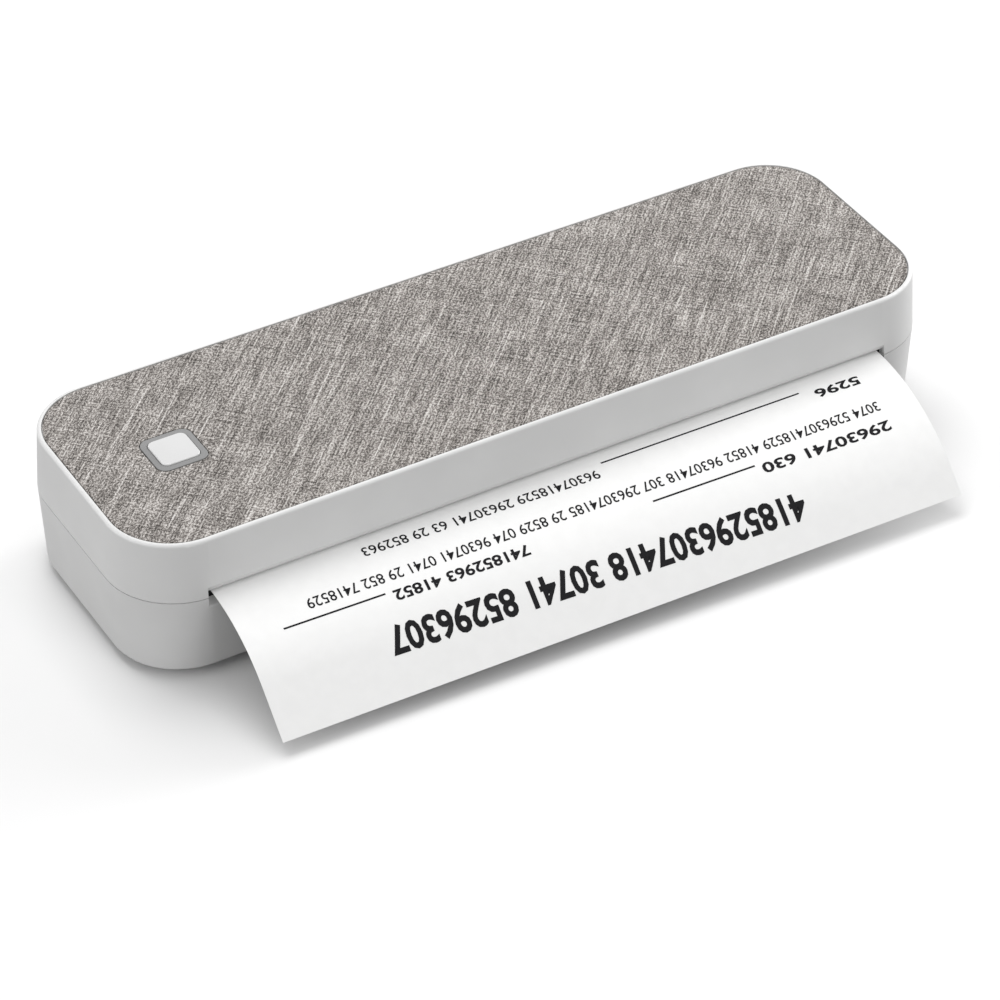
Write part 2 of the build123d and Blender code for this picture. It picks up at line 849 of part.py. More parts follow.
def motor_pinion():
    wheel = gear(pinion_teeth, motor_at, plane_b - gear_width, pinion_tooth)
    hub = rod(pitch * pinion_teeth - hub_wall, plane_b, plane_b + pinion_hub_length, motor_at)
    return wheel + hub - rod(motor_shaft_radius + fixed_gap, plane_b - 5, plane_b + 5, motor_at)


# ---- battery and boards ----
def battery_cells():
    """Two round cells end to end, each with its raised end cap."""
    cells = []
    for index in range(2):
        start = cell_start_x + index * (cell_length + cell_spacing)
        shoulder = start + cell_length - cell_cap_height
        can = rod(cell_radius, start, shoulder, (cell_y, cell_z))
        for end in (0, -1):
            can = fillet(can.faces().sort_by(Axis.X)[end].edges(), cell_edge_radius)
        cells.append(can + rod(cell_cap_radius, shoulder, start + cell_length, (cell_y, cell_z)))
    return cells


def battery_link():
    """The nickel piece that joins the two cells end to end."""
    gap = cell_start_x + cell_length
    return block(
        (gap, gap + cell_spacing),
        (cell_y - cell_cap_radius, cell_y + cell_cap_radius),
        (cell_z - cell_cap_radius, cell_z + cell_cap_radius),
    )


def drilled_board(length, depth, x, y):
    board = block(
        (x - length / 2, x + length / 2),
        (y - depth / 2, y + depth / 2),
        (main_board_z, main_board_z + board_thickness),
    )
    for hole_x, hole_y in board_holes():
        board -= disc(screw_radius + 0.1, hole_x, hole_y, 0, base_top)
    return board


def main_board():
    return drilled_board(main_board_length, main_board_depth, 0, main_board_y)


def power_board():
    return drilled_board(power_board_length, power_board_depth, power_board_x, power_board_y)


def board_screws():
    seat = main_board_z + board_thickness
    return [screw(x, y, seat, board_screw_length, False) for x, y in board_holes()]


def board_part(share, length, depth, height):
    """A block on the main board, placed by its share of the board's length from the middle."""
    x = share * main_board_length
    top = main_board_z + board_thickness
    return block(
        (x - length / 2, x + length / 2),
        (main_board_y - depth / 2, main_board_y + depth / 2),
        (top, top + height),
    )


def board_parts():
    """Plugs, chips, coils and capacitors on the main board."""
    parts = [board_part(share, plug_length, plug_depth, plug_height) for share in (-0.37, 0.16)]
    parts += [board_part(share, chip_side, chip_side, chip_height) for share in (-0.24, -0.04)]
    parts += [board_part(share, coil_side, coil_side, coil_height) for share in (-0.15, 0.32)]
    return parts + [
        board_part(share, capacitor_length, capacitor_depth, capacitor_height) for share in (0.06, 0.4)
    ]


def usb_socket():
    """A USB-C receptacle: a rounded steel shell with a tongue inside."""
    mouth = seam_length / 2 - base_inset(usb_z) - usb_mouth_inset
    across = Plane(origin=(mouth, power_board_y, usb_z), x_dir=(0, 1, 0), z_dir=(-1, 0, 0))
    outer = RectangleRounded(usb_width, usb_height, usb_height / 2 - 0.02)
    inner_height = usb_height - 2 * usb_shell
    inner = RectangleRounded(usb_width - 2 * usb_shell, inner_height, inner_height / 2 - 0.02)
    shell = extrude(across * outer, amount=usb_length)
    shell -= extrude(across * inner, amount=usb_length - usb_back)
    tongue = block(
        (mouth - usb_length + usb_back / 2, mouth - usb_tongue_inset),
        (power_board_y - usb_tongue_width / 2, power_board_y + usb_tongue_width / 2),
        (usb_z - usb_tongue_thickness / 2, usb_z + usb_tongue_thickness / 2),
    )
    return shell + tongue


# ---- hinge pins and catches ----
def hinge_pins():
    reach = lug_width / 2 + ear_gap + ear_width - 0.3
    pins = []
    for side in (-1, 1):
        middle = side * hinge_x
        pin = rod(hinge_pin_radius, middle - reach, middle + reach, (hinge_y, hinge_z))
        pins.append(chamfer(pin.faces().sort_by(Axis.X)[-1].edges(), 0.2))
    return pins


def catch_springs():
    """Two bent strips whose arms grip the cover's tongues."""
    pinch = bulge_radius + catch_gap + catch_strip / 2
    open_half = pinch + catch_opening
    top = deck_bottom - catch_strip / 2
    kink = liner_z - tongue_length + bulge_radius
    low = top - catch_depth
    clips = []
    for side in (-1, 1):
        path = Polyline(
            (-open_half - catch_foot, top),
            (-open_half, top),
            (-pinch, kink),
            (-open_half, kink - catch_jaw),
            (-open_half, low),
            (open_half, low),
            (open_half, kink - catch_jaw),
            (pinch, kink),
            (open_half, top),
            (open_half + catch_foot, top),
        )
        strip = extrude(Plane.XZ * trace(path, catch_strip), amount=catch_width / 2, both=True)
        clips.append(Pos(side * catch_x, catch_y, 0) * strip)
    return clips


# ---- cover ----
def hinge_lip():
    """The rounded lower edge of the cover's rear wall and its two hinge lugs."""
    reach = relief_half - 0.3
    lip = rod(hinge_radius, -reach, reach, (hinge_y, hinge_z))
    lip &= block((-reach, reach), (seam_depth / 2 - wall, seam_depth), (0, casing_top))
    plan = RectangleRounded(seam_length, seam_depth, seam_radius)
    outside = extrude(Plane.XY.offset(hinge_z - 5) * plan, amount=cover_bottom - hinge_z + 5)
    lip &= outside + casing_block(cover_inset, 0, cover_bottom, cover_bottom + 5)
    for side in (-1, 1):
        x0, x1 = side * hinge_x - lug_width / 2, side * hinge_x + lug_width / 2
        lip += rod(hinge_radius, x0, x1, (hinge_y, hinge_z))
        lip += block((x0, x1), (hinge_y - hinge_radius, seam_depth / 2 - wall / 2), (hinge_z, hinge_z + 5))
    return lip


def outlet_bevel():
    """What is cut from the cover's front wall: the outlet's upper lip and its bevel."""
    slope = (bevel_top_z - outlet_lip_z) / bevel_depth
    points = [
        (front_y - wall, cover_bottom - 1),
        (front_y - wall, bevel_top_z + slope * wall),
        (front_y + bevel_depth, outlet_lip_z),
        (front_y + 2 * wall, outlet_lip_z),
        (front_y + 2 * wall, cover_bottom - 1),
    ]
    return side_profile(points, -outlet_length / 2, outlet_length / 2)


def cover_bosses():
    """Places and lower ends of the bosses under the cover's roof."""
    bosses = [(x, y, liner_z + liner_thickness) for x, y in boss_points]
    bosses += [(side * bracket_screw_x, peg_y, bracket_z + bracket_thickness) for side in (-1, 1)]
    return bosses + [(x, y, button_board_z + board_thickness) for x, y in button_board_holes()]


def button_board_holes():
    reach = button_board_length / 2 - board_hole_inset
    return [(button_x + way * reach, button_y - button_board_offset) for way in (-1, 1)]


def cover_shell():
    shell = casing_block(cover_inset, 0, cover_bottom, casing_top)
    shell = fillet(shell.faces().sort_by(Axis.Z)[-1].edges(), rim_edge_radius)
    shell -= casing_block(cover_inset, wall, cover_bottom, roof_z)
    recess = RectangleRounded(
        panel_length + 2 * panel_gap, panel_depth + 2 * panel_gap, panel_radius + panel_gap
    )
    shell -= extrude(Plane.XY.offset(panel_seat) * recess, amount=5)
    rebate_margin = wall - lip_thickness - lip_gap
    rebate = casing_block(base_inset, rebate_margin, cover_bottom - 1, base_top + lip_height + lip_gap)
    rebate -= block((-outlet_length / 2 + 2, outlet_length / 2 - 2), (-seam_depth, 0), (0, casing_top))
    rebate -= block((-seam_length, seam_length), (hinge_y - hinge_lip_gap + 1, seam_depth), (0, casing_top))
    shell -= rebate
    shell -= outlet_bevel()
    shell += hinge_lip()
    for side in (-1, 1):
        for end in (-1, 1):
            middle = side * hinge_x + end * (lug_width / 2 + ear_gap + ear_width / 2)
            half = ear_width / 2 + ear_gap
            shell -= rod(hinge_radius + hinge_clear, middle - half, middle + half, (hinge_y, hinge_z))
        shell -= rod(
            hinge_pin_radius + running_gap,
            side * hinge_x - lug_width,
            side * hinge_x + lug_width,
            (hinge_y, hinge_z),
        )
    for x, y, low in cover_bosses():
        shell += disc(boss_radius, x, y, low, roof_z)
        shell -= disc(screw_radius, x, y, low, min(low + boss_hole_depth, roof_z + roof_hole_depth))
    hole = bezel_side - 2 * sleeve_wall + 0.1
    shell -= rounded_tile(hole, hole, bezel_radius - sleeve_wall, button_x, button_y, roof_z - 5, panel_top)
    return shell


def fabric_panel():
    panel = RectangleRounded(panel_length, panel_depth, panel_radius)
    panel = extrude(Plane.XY.offset(panel_seat) * panel, amount=panel_thickness)
    hole = bezel_side + 2 * panel_gap
    return panel - rounded_tile(hole, hole, bezel_radius + panel_gap, button_x, button_y, roof_z, casing_top)


def cover_liner():
    """The moulding that closes the cover from below, hooded over the roll."""
    low = liner_z
    high = liner_z + liner_thickness
    plate = casing_block(cover_inset, wall + liner_gap, low, high)
    plate -= block((-seam_length, seam_length), (hinge_y - hinge_radius - 1, seam_depth), (0, casing_top))
    hood = rod(hood_radius + liner_thickness, -side_outer, side_outer, (bay_y, bay_z))
    hood &= block((-seam_length, seam_length), (-seam_depth, seam_depth), (low, casing_top))
    liner = plate + hood
    liner -= rod(hood_radius, -side_inner, side_inner, (bay_y, bay_z))
    liner -= block(
        (-head_window_half, head_window_half), (-seam_depth, head_window_rear), (low - 1, casing_top)
    )
    for x, y in boss_points:
        liner -= disc(screw_radius + screw_clearance, x, y, low - 1, high + 1)
    for side in (-1, 1):
        x = side * catch_x
        tongue = block(
            (x - tongue_thickness / 2, x + tongue_thickness / 2),
            (catch_y - tongue_width / 2, catch_y + tongue_width / 2),
            (low - tongue_length + bulge_radius, low),
        )
        bulge = Rot(90, 0, 0) * Cylinder(bulge_radius, tongue_width)
        bulge = Pos(x, catch_y, low - tongue_length + bulge_radius) * bulge
        liner += tongue + bulge
    return liner


def cover_screws():
    return [screw(x, y, liner_z, cover_screw_length, True) for x, y in boss_points]


# ---- print head ----
def head_bracket():
    """A steel channel under the roof; its end flanges guide the head up and down."""
    top = bracket_z + bracket_thickness
    plate = block((-bracket_half_length, bracket_half_length), (sink_front, sink_rear), (bracket_z, top))
    for x in (-bracket_screw_x, bracket_screw_x):
        plate -= disc(screw_radius + screw_clearance, x, peg_y, 0, casing_top)
    for side in (-1, 1):
        ends = sorted((side * (bracket_half_length - bracket_thickness), side * bracket_half_length))
        flange = block(ends, (peg_y - flange_depth / 2, peg_y + flange_depth / 2), (top - flange_drop, top))
        slot_half = peg_radius + 0.1
        low, high = peg_z, peg_z + head_lift
        slot = block((ends[0] - 1, ends[1] + 1), (peg_y - slot_half, peg_y + slot_half), (low, high))
        slot += rod(slot_half, ends[0] - 1, ends[1] + 1, (peg_y, low))
        slot += rod(slot_half, ends[0] - 1, ends[1] + 1, (peg_y, high))
        plate += flange - slot
    return plate


def bracket_screws():
    return [screw(side * bracket_screw_x, peg_y, bracket_z, short_screw_length, True) for side in (-1, 1)]


def head_springs():
    """Three arched strips that press the head down on the sheet."""
    rise = bracket_z - sink_top - 2 * spring_gap - spring_strip
    radius = (spring_half_length**2 + rise**2) / 2 / rise
    foot = sink_top + spring_gap + spring_strip / 2
    springs = []
    for index in (-1, 0, 1):
        arch = RadiusArc((-spring_half_length, foot), (spring_half_length, foot), radius)
        strip = extrude(Plane.XZ * trace(arch, spring_strip), amount=spring_width / 2, both=True)
        springs.append(Pos(index * spring_pitch, peg_y, 0) * strip)
    return springs


def head_heatsink():
    sink = block((-head_half_length, head_half_length), (sink_front, sink_rear), (sink_z, sink_top))
    grooves = int((sink_rear - sink_front) / fin_pitch)
    for index in range(grooves):
        y = sink_front + (index + 0.7) * fin_pitch
        if abs(y - peg_y) < spring_width / 2 + fin_groove / 2:
            continue
        groove = (y - fin_groove / 2, y + fin_groove / 2)
        sink -= block((-seam_length, seam_length), groove, (sink_top - fin_depth, casing_top))
    for side in (-1, 1):
        end = side * head_half_length
        sink += rod(peg_radius, end - side, end + side * peg_length, (peg_y, peg_z))
    return sink


def print_head_ceramic():
    return block(
        (-head_half_length, head_half_length),
        (platen_y - ceramic_depth / 2, platen_y + ceramic_depth / 2),
        (ceramic_z, sink_z),
    )


def heater_glaze():
    """The thin glazed line that holds the heater dots, over the platen's crest."""
    return block(
        (-platen_half_length, platen_half_length),
        (platen_y - glaze_width / 2, platen_y + glaze_width / 2),
        (glaze_z, ceramic_z),
    )


def driver_cover():
    """The resin strip over the driver chips, behind the ceramic."""
    start = platen_y + ceramic_depth / 2 + 0.2
    strip = block(
        (-head_half_length + driver_inset, head_half_length - driver_inset),
        (start, start + driver_depth),
        (sink_z - driver_thickness, sink_z),
    )
    return chamfer(strip.faces().sort_by(Axis.Z)[0].edges(), 0.3)


# ---- power button ----
def button_bezel():
    """A flush frame round the button with a sleeve through the roof."""
    frame = rounded_tile(
        bezel_side, bezel_side, bezel_radius, button_x, button_y, panel_seat, panel_top + bezel_proud
    )
    frame = fillet(frame.faces().sort_by(Axis.Z)[-1].edges(), 0.2)
    side = bezel_side - 2 * sleeve_wall
    frame += rounded_tile(side, side, bezel_radius - sleeve_wall, button_x, button_y, sleeve_z, panel_seat)
    hole = cap_side + 2 * cap_gap
    corner = cap_radius + cap_gap
    return frame - rounded_tile(hole, hole, corner, button_x, button_y, sleeve_z - 1, casing_top + 1)


def power_button():
    top = casing_top + cap_proud
    cap = rounded_tile(cap_side, cap_side, cap_radius, button_x, button_y, retainer_top, top)
    cap = fillet(cap.faces().sort_by(Axis.Z)[-1].edges(), 0.35)
    low = retainer_top - retainer_thickness
    cap += rounded_tile(retainer_side, retainer_side, cap_radius, button_x, button_y, low, retainer_top)
    return cap + disc(stem_radius, button_x, button_y, plunger_top, low)


def button_board():
    middle = button_y - button_board_offset
    board = block(
        (button_x - button_board_length / 2, button_x + button_board_length / 2),
        (middle - button_board_depth / 2, middle + button_board_depth / 2),
        (button_board_z, button_board_z + board_thickness),
    )
    for x, y in button_board_holes():
        board -= disc(screw_radius + 0.1, x, y, 0, casing_top)
    return board


def button_board_screws():
    return [screw(x, y, button_board_z, short_screw_length, True) for x, y in button_board_holes()]


def button_switch():
    """The tact switch's body, with the well that its plunger works in."""
    low = button_board_z + board_thickness
    high = low + switch_height - button_travel - 0.2
    half = switch_side / 2
    body = block((button_x - half, button_x + half), (button_y - half, button_y + half), (low, high))
    return body - disc(stem_radius + 0.05, button_x, button_y, low + 1, casing_top)


def switch_plunger():
    low = button_board_z + board_thickness + plunger_inside
    return disc(stem_radius, button_x, button_y, low, plunger_top)


# ---- sheet and roll ----
def sheet_path():
    """The sheet's middle line in (y, z): flat over the platen, then curling down to a straight end."""
    turn = radians(curl_angle)
    start = (front_y + curl_setback, sheet_z)
    middle = (
        start[0] - curl_radius * sin(turn / 2),
        start[1] - curl_radius * (1 - cos(turn / 2)),
    )
    bend_end = (start[0] - curl_radius * sin(turn), start[1] - curl_radius * (1 - cos(turn)))
    tip = (bend_end[0] - sheet_tail * cos(turn), bend_end[1] - sheet_tail * sin(turn))
    flat = Line((bay_y, sheet_z), start)
    return flat + ThreePointArc(start, middle, bend_end) + Line(bend_end, tip)


def paper_sheet():
    strip = Plane.YZ * trace(sheet_path(), sheet_thickness)
    return extrude(strip, amount=sheet_width / 2, both=True)


def paper_roll():
    roll = rod(roll_radius, -sheet_width / 2, sheet_width / 2, roll_at)
    return roll - rod(roll_hole_radius, -sheet_width, sheet_width, roll_at)


pieces = {
    "base_shell": base_shell,
    "rubber_feet": rubber_feet,
    "base_screws": base_screws,
    "chassis": chassis,
    "paper_sensor": paper_sensor,
    "platen_bushes": platen_bushes,
    "idler_pin": idler_pin,
    "stepper_motor": stepper_motor,
    "motor_screws": motor_screws,
    "battery_cells": battery_cells,
    "battery_link": battery_link,
    "main_board": main_board,
    "board_parts": board_parts,
    "power_board": power_board,
    "board_screws": board_screws,
    "usb_socket": usb_socket,
    "hinge_pins": hinge_pins,
    "catch_springs": catch_springs,
    "cover_shell": cover_shell,
    "fabric_panel": fabric_panel,
    "cover_liner": cover_liner,
    "cover_screws": cover_screws,
    "head_bracket": head_bracket,
    "bracket_screws": bracket_screws,
    "head_springs": head_springs,
    "head_heatsink": head_heatsink,
    "print_head_ceramic": print_head_ceramic,
    "heater_glaze": heater_glaze,
    "driver_cover": driver_cover,
    "button_bezel": button_bezel,
    "button_board": button_board,
    "button_board_screws": button_board_screws,
    "button_switch": button_switch,
    "power_button": power_button,
    "switch_plunger": switch_plunger,
    "platen_shaft": platen_shaft,
    "platen_rubber": platen_rubber,
    "platen_gear": platen_gear,
    "platen_clip": platen_clip,
    "idler_gear": idler_gear,
    "motor_shaft": motor_shaft,
    "motor_pinion": motor_pinion,
    "paper_sheet": paper_sheet,
    "paper_roll": paper_roll,
}


def build():
    """Make every piece, then move them together so that the origin is under the middle of the whole."""
    made = {}
    for name, make in pieces.items():
        shape = make()
        made[name] = shape if isinstance(shape, list) else [shape]
    boxes = [shape.bounding_box() for shapes in made.values() for shape in shapes]
    shift = -(min(box.min.Y for box in boxes) + max(box.max.Y for box in boxes)) / 2
    placed = {}
    for name, shapes in made.items():
        solids = [Pos(0, shift, -desk_z) * solid for shape in shapes for solid in shape.solids()]
        placed[name] = solids[0] if len(solids) == 1 else Compound(solids)
    return placed


os.makedirs("parts", exist_ok=True)
for node, shape in build().items():
    export_step(shape, f"parts/{node}.step")
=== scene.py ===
import json
from math import cos, pi, radians, sin

import bmesh
import bpy
from mathutils import Matrix, Vector


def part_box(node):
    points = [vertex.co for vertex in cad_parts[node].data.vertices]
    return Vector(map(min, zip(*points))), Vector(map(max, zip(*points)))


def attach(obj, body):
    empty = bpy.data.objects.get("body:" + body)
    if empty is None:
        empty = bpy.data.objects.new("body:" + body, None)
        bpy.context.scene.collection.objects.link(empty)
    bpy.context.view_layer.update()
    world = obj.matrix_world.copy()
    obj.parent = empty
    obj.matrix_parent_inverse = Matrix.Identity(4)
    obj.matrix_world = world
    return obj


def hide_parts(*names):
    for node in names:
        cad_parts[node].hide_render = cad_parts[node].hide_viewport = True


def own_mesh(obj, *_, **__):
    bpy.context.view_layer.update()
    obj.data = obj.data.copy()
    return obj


bl_info = {
    "name": "Portable thermal printer",
    "version": (1, 0, 0),
    "blender": (4, 5, 0),
    "location": "View3D > Sidebar > Printer",
    "description": "Dresses the printer's frame with cloth, paper, print and finishes",
    "category": "Object",
}

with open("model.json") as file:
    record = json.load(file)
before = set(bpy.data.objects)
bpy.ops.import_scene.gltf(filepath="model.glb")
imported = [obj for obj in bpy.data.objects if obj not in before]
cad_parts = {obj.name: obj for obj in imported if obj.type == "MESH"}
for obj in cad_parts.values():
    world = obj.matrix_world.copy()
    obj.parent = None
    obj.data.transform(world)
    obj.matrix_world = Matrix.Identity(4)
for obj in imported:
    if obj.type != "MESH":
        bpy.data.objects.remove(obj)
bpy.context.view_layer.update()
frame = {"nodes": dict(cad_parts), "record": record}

MM = 0.001
# The boxes of the frame's pieces that the cloth and the sheet are fitted to.
COVER_HIGH = Vector(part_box("cover_shell")[1])
PANEL_LOW, PANEL_HIGH = (Vector(corner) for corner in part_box("fabric_panel"))
BEZEL_LOW, BEZEL_HIGH = (Vector(corner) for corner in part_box("button_bezel"))
SHEET_LOW, SHEET_HIGH = (Vector(corner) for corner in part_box("paper_sheet"))
CASING_DEPTH = 79.1 * MM
MIDDLE_Y = COVER_HIGH.y - CASING_DEPTH / 2
SAME_POINT = 0.0001 * MM
SMOOTH_BELOW = radians(35)


# ---- finishes ----


class Value:
    """A number that changes over a surface, written with ordinary arithmetic."""

    def __init__(self, finish, socket):
        self.finish = finish
        self.socket = socket

    def _with(self, operation, *operands):
        node = self.finish.node("ShaderNodeMath", {"operation": operation}, dict(enumerate(operands)))
        return node.value("Value")

    def __add__(self, other):
        return self._with("ADD", self, other)

    __radd__ = __add__

    def __sub__(self, other):
        return self._with("SUBTRACT", self, other)

    def __rsub__(self, other):
        return self._with("SUBTRACT", other, self)

    def __mul__(self, other):
        return self._with("MULTIPLY", self, other)

    __rmul__ = __mul__

    def wave(self):
        """The sine of this value."""
        return self._with("SINE", self)

    def clipped(self):
        """This value held between 0 and 1."""
        return self._with("MINIMUM", self._with("MAXIMUM", self, 0.0), 1.0)

    def spread(self, low, high):
        """0 at low and 1 at high, smoothly, and never past its ends."""
        node = self.finish.node(
            "ShaderNodeMapRange",
            {"interpolation_type": "SMOOTHSTEP"},
            {"Value": self, "From Min": low, "From Max": high},
        )
        return node.value("Result")


class Node:
    """One node of a finish, read by the names or numbers of its sockets."""

    def __init__(self, finish, made):
        self.finish = finish
        self.made = made

    def out(self, name):
        return self.made.outputs[name]

    def value(self, name):
        return Value(self.finish, self.made.outputs[name])


class Finish:
    """A material under construction, and the shader that ends it."""

    def __init__(self, name):
        self.material = bpy.data.materials.new(name)
        self.material.use_nodes = True
        self.tree = self.material.node_tree
        self.tree.nodes.clear()
        self.output = self.tree.nodes.new("ShaderNodeOutputMaterial")
        self.place = self.node("ShaderNodeTexCoord", {}, {}).out("Object")

    def node(self, kind, settings, inputs):
        """Adds a node of a type, with its settings first and then its sockets' values or links."""
        made = self.tree.nodes.new(kind)
        for name, setting in settings.items():
            if name == "stops":
                self._ramp(made.color_ramp, setting)
            else:
                setattr(made, name, setting)
        for name, given in inputs.items():
            socket = made.inputs[name]
            if isinstance(given, Value):
                self.tree.links.new(given.socket, socket)
            elif isinstance(given, bpy.types.NodeSocket):
                self.tree.links.new(given, socket)
            else:
                socket.default_value = given
        return Node(self, made)

    def _ramp(self, ramp, stops):
        while len(ramp.elements) < len(stops):
            ramp.elements.new(0.5)
        for element, (position, tone) in zip(ramp.elements, stops):
            element.position = position
            element.color = (*tone, 1)

    def along(self, size, turn=0.0):
        """Object coordinates turned about Z and counted in cells of the given sizes."""
        return self.node(
            "ShaderNodeMapping",
            {"vector_type": "POINT"},
            {
                "Vector": self.turned(turn) if turn else self.place,
                "Scale": tuple(1 / edge for edge in size),
            },
        ).out("Vector")

    def turned(self, turn):
        """Object coordinates turned about Z."""
        return self.node(
            "ShaderNodeMapping", {"vector_type": "POINT"}, {"Vector": self.place, "Rotation": (0, 0, turn)}
        ).out("Vector")

    def noise(self, size, detail=2.0, roughness=0.5, turn=0.0):
        """Soft noise, with one blob to each cell of the given (x, y, z) size in metres."""
        made = self.node(
            "ShaderNodeTexNoise",
            {"noise_dimensions": "3D"},
            {"Vector": self.along(size, turn), "Scale": 1.0, "Detail": detail, "Roughness": roughness},
        )
        return made.value(0)

    def mix(self, share, first, second):
        """A colour between two others."""
        made = self.node("ShaderNodeMix", {"data_type": "RGBA"}, {0: share, 6: first, 7: second})
        return made.out(2)

    def bump(self, height, distance, strength=1.0):
        """The surface raised by a height, at most this far."""
        inputs = {"Height": height, "Distance": distance, "Strength": strength}
        return self.node("ShaderNodeBump", {}, inputs).out("Normal")

    def end(self, colour, roughness, normal=None, **constants):
        """Closes the finish with a Principled shader; constants are set on its own sockets."""
        inputs = {"Base Color": colour, "Roughness": roughness}
        if normal is not None:
            inputs["Normal"] = normal
        inputs.update({name.replace("_", " "): number for name, number in constants.items()})
        shader = self.node("ShaderNodeBsdfPrincipled", {}, inputs)
        self.tree.links.new(shader.out("BSDF"), self.output.inputs["Surface"])
        return self.material


def grey(level):
    """A neutral colour."""
    return (level, level, level, 1.0)


def shaded(colour, factor):
    """A colour made darker or lighter by a factor, and opaque."""
    return (*(min(1.0, channel * factor) for channel in colour), 1)


def cube(edge):
    """The same cell size along X, Y and Z."""
    return (edge, edge, edge)


def moulding(name, colour, roughness, grain=0.00025, depth=0.000012, mottle=0.03, coat=0.0):
    """Moulded plastic: spark-eroded grain, and a faint unevenness of tone and gloss."""
    finish = Finish(name)
    cloud = finish.noise(cube(0.03), detail=3.0)
    speck = finish.noise(cube(grain), detail=2.0)
    tone = finish.mix(cloud.spread(0.3, 0.7), shaded(colour, 1 - mottle), shaded(colour, 1 + mottle))
    gloss = speck * 0.08 + (cloud * 0.08 + (roughness - 0.08))
    return finish.end(tone, gloss, finish.bump(speck, depth), Coat_Weight=coat, IOR=1.5)


def metal(name, colour, roughness, cell, depth=0.000004):
    """Bare metal, brushed, drawn or turned along the longest edge of its cell."""
    finish = Finish(name)
    streak = finish.noise(cell, detail=3.0, roughness=0.6)
    cloud = finish.noise(cube(0.012), detail=2.0)
    tone = finish.mix(streak.spread(0.3, 0.7), shaded(colour, 0.82), shaded(colour, 1))
    gloss = streak * 0.2 + (cloud * 0.08 + (roughness - 0.14))
    return finish.end(tone, gloss, finish.bump(streak, depth), Metallic=1.0)


def rubber(name, colour, roughness, grain, depth):
    """Rubber with a dusty bloom on it."""
    finish = Finish(name)
    speck = finish.noise(grain, detail=4.0, roughness=0.65)
    bloom = finish.noise(cube(0.006), detail=3.0)
    dusty = tuple(channel * 1.7 + 0.01 for channel in colour)
    tone = finish.mix(bloom.spread(0.35, 0.75), shaded(colour, 1), shaded(dusty, 1))
    return finish.end(tone, speck * 0.12 + (roughness - 0.06), finish.bump(speck, depth))


def linen(colours):
    """A melange plain weave laid at 45 degrees to the casing, one yarn family bolder than the other."""
    finish = Finish("linen")
    pitch = 0.00062
    warp_turn, weft_turn = radians(-45), radians(45)
    sway = finish.noise(cube(0.005), detail=2.0)

    def yarns(turn, length, width=pitch, detail=2.0):
        """Tone that changes from yarn to yarn, and along each one after its length."""
        return finish.noise((length, width, 1), detail=detail, roughness=0.55, turn=turn)

    def rib(turn):
        """The rounded backs of the yarns, which sway a little from side to side."""
        across = finish.node("ShaderNodeSeparateXYZ", {}, {"Vector": finish.turned(turn)}).value("Y")
        return (across * (2 * pi / pitch) + sway * 9.0).wave()

    crossing = (rib(warp_turn) * rib(weft_turn)).spread(-0.6, 0.6)
    warp = yarns(warp_turn, 0.009, 0.0005).spread(0.37, 0.63)
    warp_run = yarns(warp_turn, 0.022, 0.0016).spread(0.38, 0.62)
    weft = yarns(weft_turn, 0.008, 0.0005).spread(0.37, 0.63)
    fibre = yarns(warp_turn, 0.00075, 0.0005, 1.0).spread(0.4, 0.6)
    slub = yarns(warp_turn, 0.03, 0.0007, 0.0).spread(0.65, 0.79)
    cross_slub = yarns(weft_turn, 0.02, 0.0007, 0.0).spread(0.68, 0.8)
    # Painted shade: long openings between the yarns, darkened towards the yarn-shadow tone where shade falls
    # into the weave.
    gap = yarns(weft_turn, 0.016, 0.0005, 0.0).spread(0.34, 0.24)
    cloud = finish.noise(cube(0.012), detail=3.0).spread(0.3, 0.7)
    level = (
        fibre * 0.4
        + crossing * 0.08
        + warp * 0.2
        + warp_run * 0.13
        + weft * 0.1
        + cloud * 0.07
        + slub * 0.26
        + cross_slub * 0.14
        - gap * 0.2
    )
    tones = [
        (0.1, colours.yarn_shadow),
        (0.46, colours.yarn),
        (0.78, colours.yarn_light),
        (1.0, colours.yarn_brightest),
    ]
    tone = finish.node("ShaderNodeValToRGB", {"stops": tones}, {"Fac": level.clipped()}).out("Color")
    height = crossing * 0.5 + warp * 0.5 + weft * 0.4 + fibre * 0.5 + slub * 0.5
    return finish.end(
        tone,
        0.9,
        finish.bump(height, 0.0002),
        Sheen_Weight=0.15,
        Sheen_Roughness=0.5,
        Sheen_Tint=(0.9, 0.87, 0.84, 1),
        Specular_IOR_Level=0.15,
    )


def thermal_paper(colours):
    """Smooth coated stock: nearly white, with a faint fibre cloud and a soft gloss."""
    finish = Finish("thermal_paper")
    cloud = finish.noise(cube(0.004), detail=4.0)
    fibre = finish.noise((0.0012, 0.0003, 0.0012), detail=3.0)
    tone = finish.mix(cloud.spread(0.3, 0.7), shaded(colours.paper_cloud, 1), shaded(colours.paper, 1))
    return finish.end(tone, fibre * 0.1 + 0.5, finish.bump(fibre, 0.000006), Specular_IOR_Level=0.35)


def roll_edge():
    """The wound edge of the roll: the same stock, with its turns showing as fine rings."""
    finish = Finish("paper_roll")
    low, high = (Vector(corner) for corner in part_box("paper_roll"))
    middle = (low + high) / 2
    centred = finish.node(
        "ShaderNodeVectorMath",
        {"operation": "SUBTRACT"},
        {0: finish.place, 1: (0, middle.y, middle.z)},
    ).out("Vector")
    flat = finish.node(
        "ShaderNodeVectorMath",
        {"operation": "MULTIPLY"},
        {0: centred, 1: (0, 1, 1)},
    ).out("Vector")
    reach = finish.node("ShaderNodeVectorMath", {"operation": "LENGTH"}, {0: flat}).value("Value")
    turns = (reach * (2 * pi / 0.00035)).wave()
    cloud = finish.noise(cube(0.004), detail=4.0)
    light = turns.spread(-1, 1) * 0.5 + cloud * 0.4
    tone = finish.mix(light, (0.72, 0.72, 0.71, 1), (0.92, 0.92, 0.915, 1))
    return finish.end(tone, cloud * 0.1 + 0.5, finish.bump(turns, 0.00002, 0.4), Specular_IOR_Level=0.3)


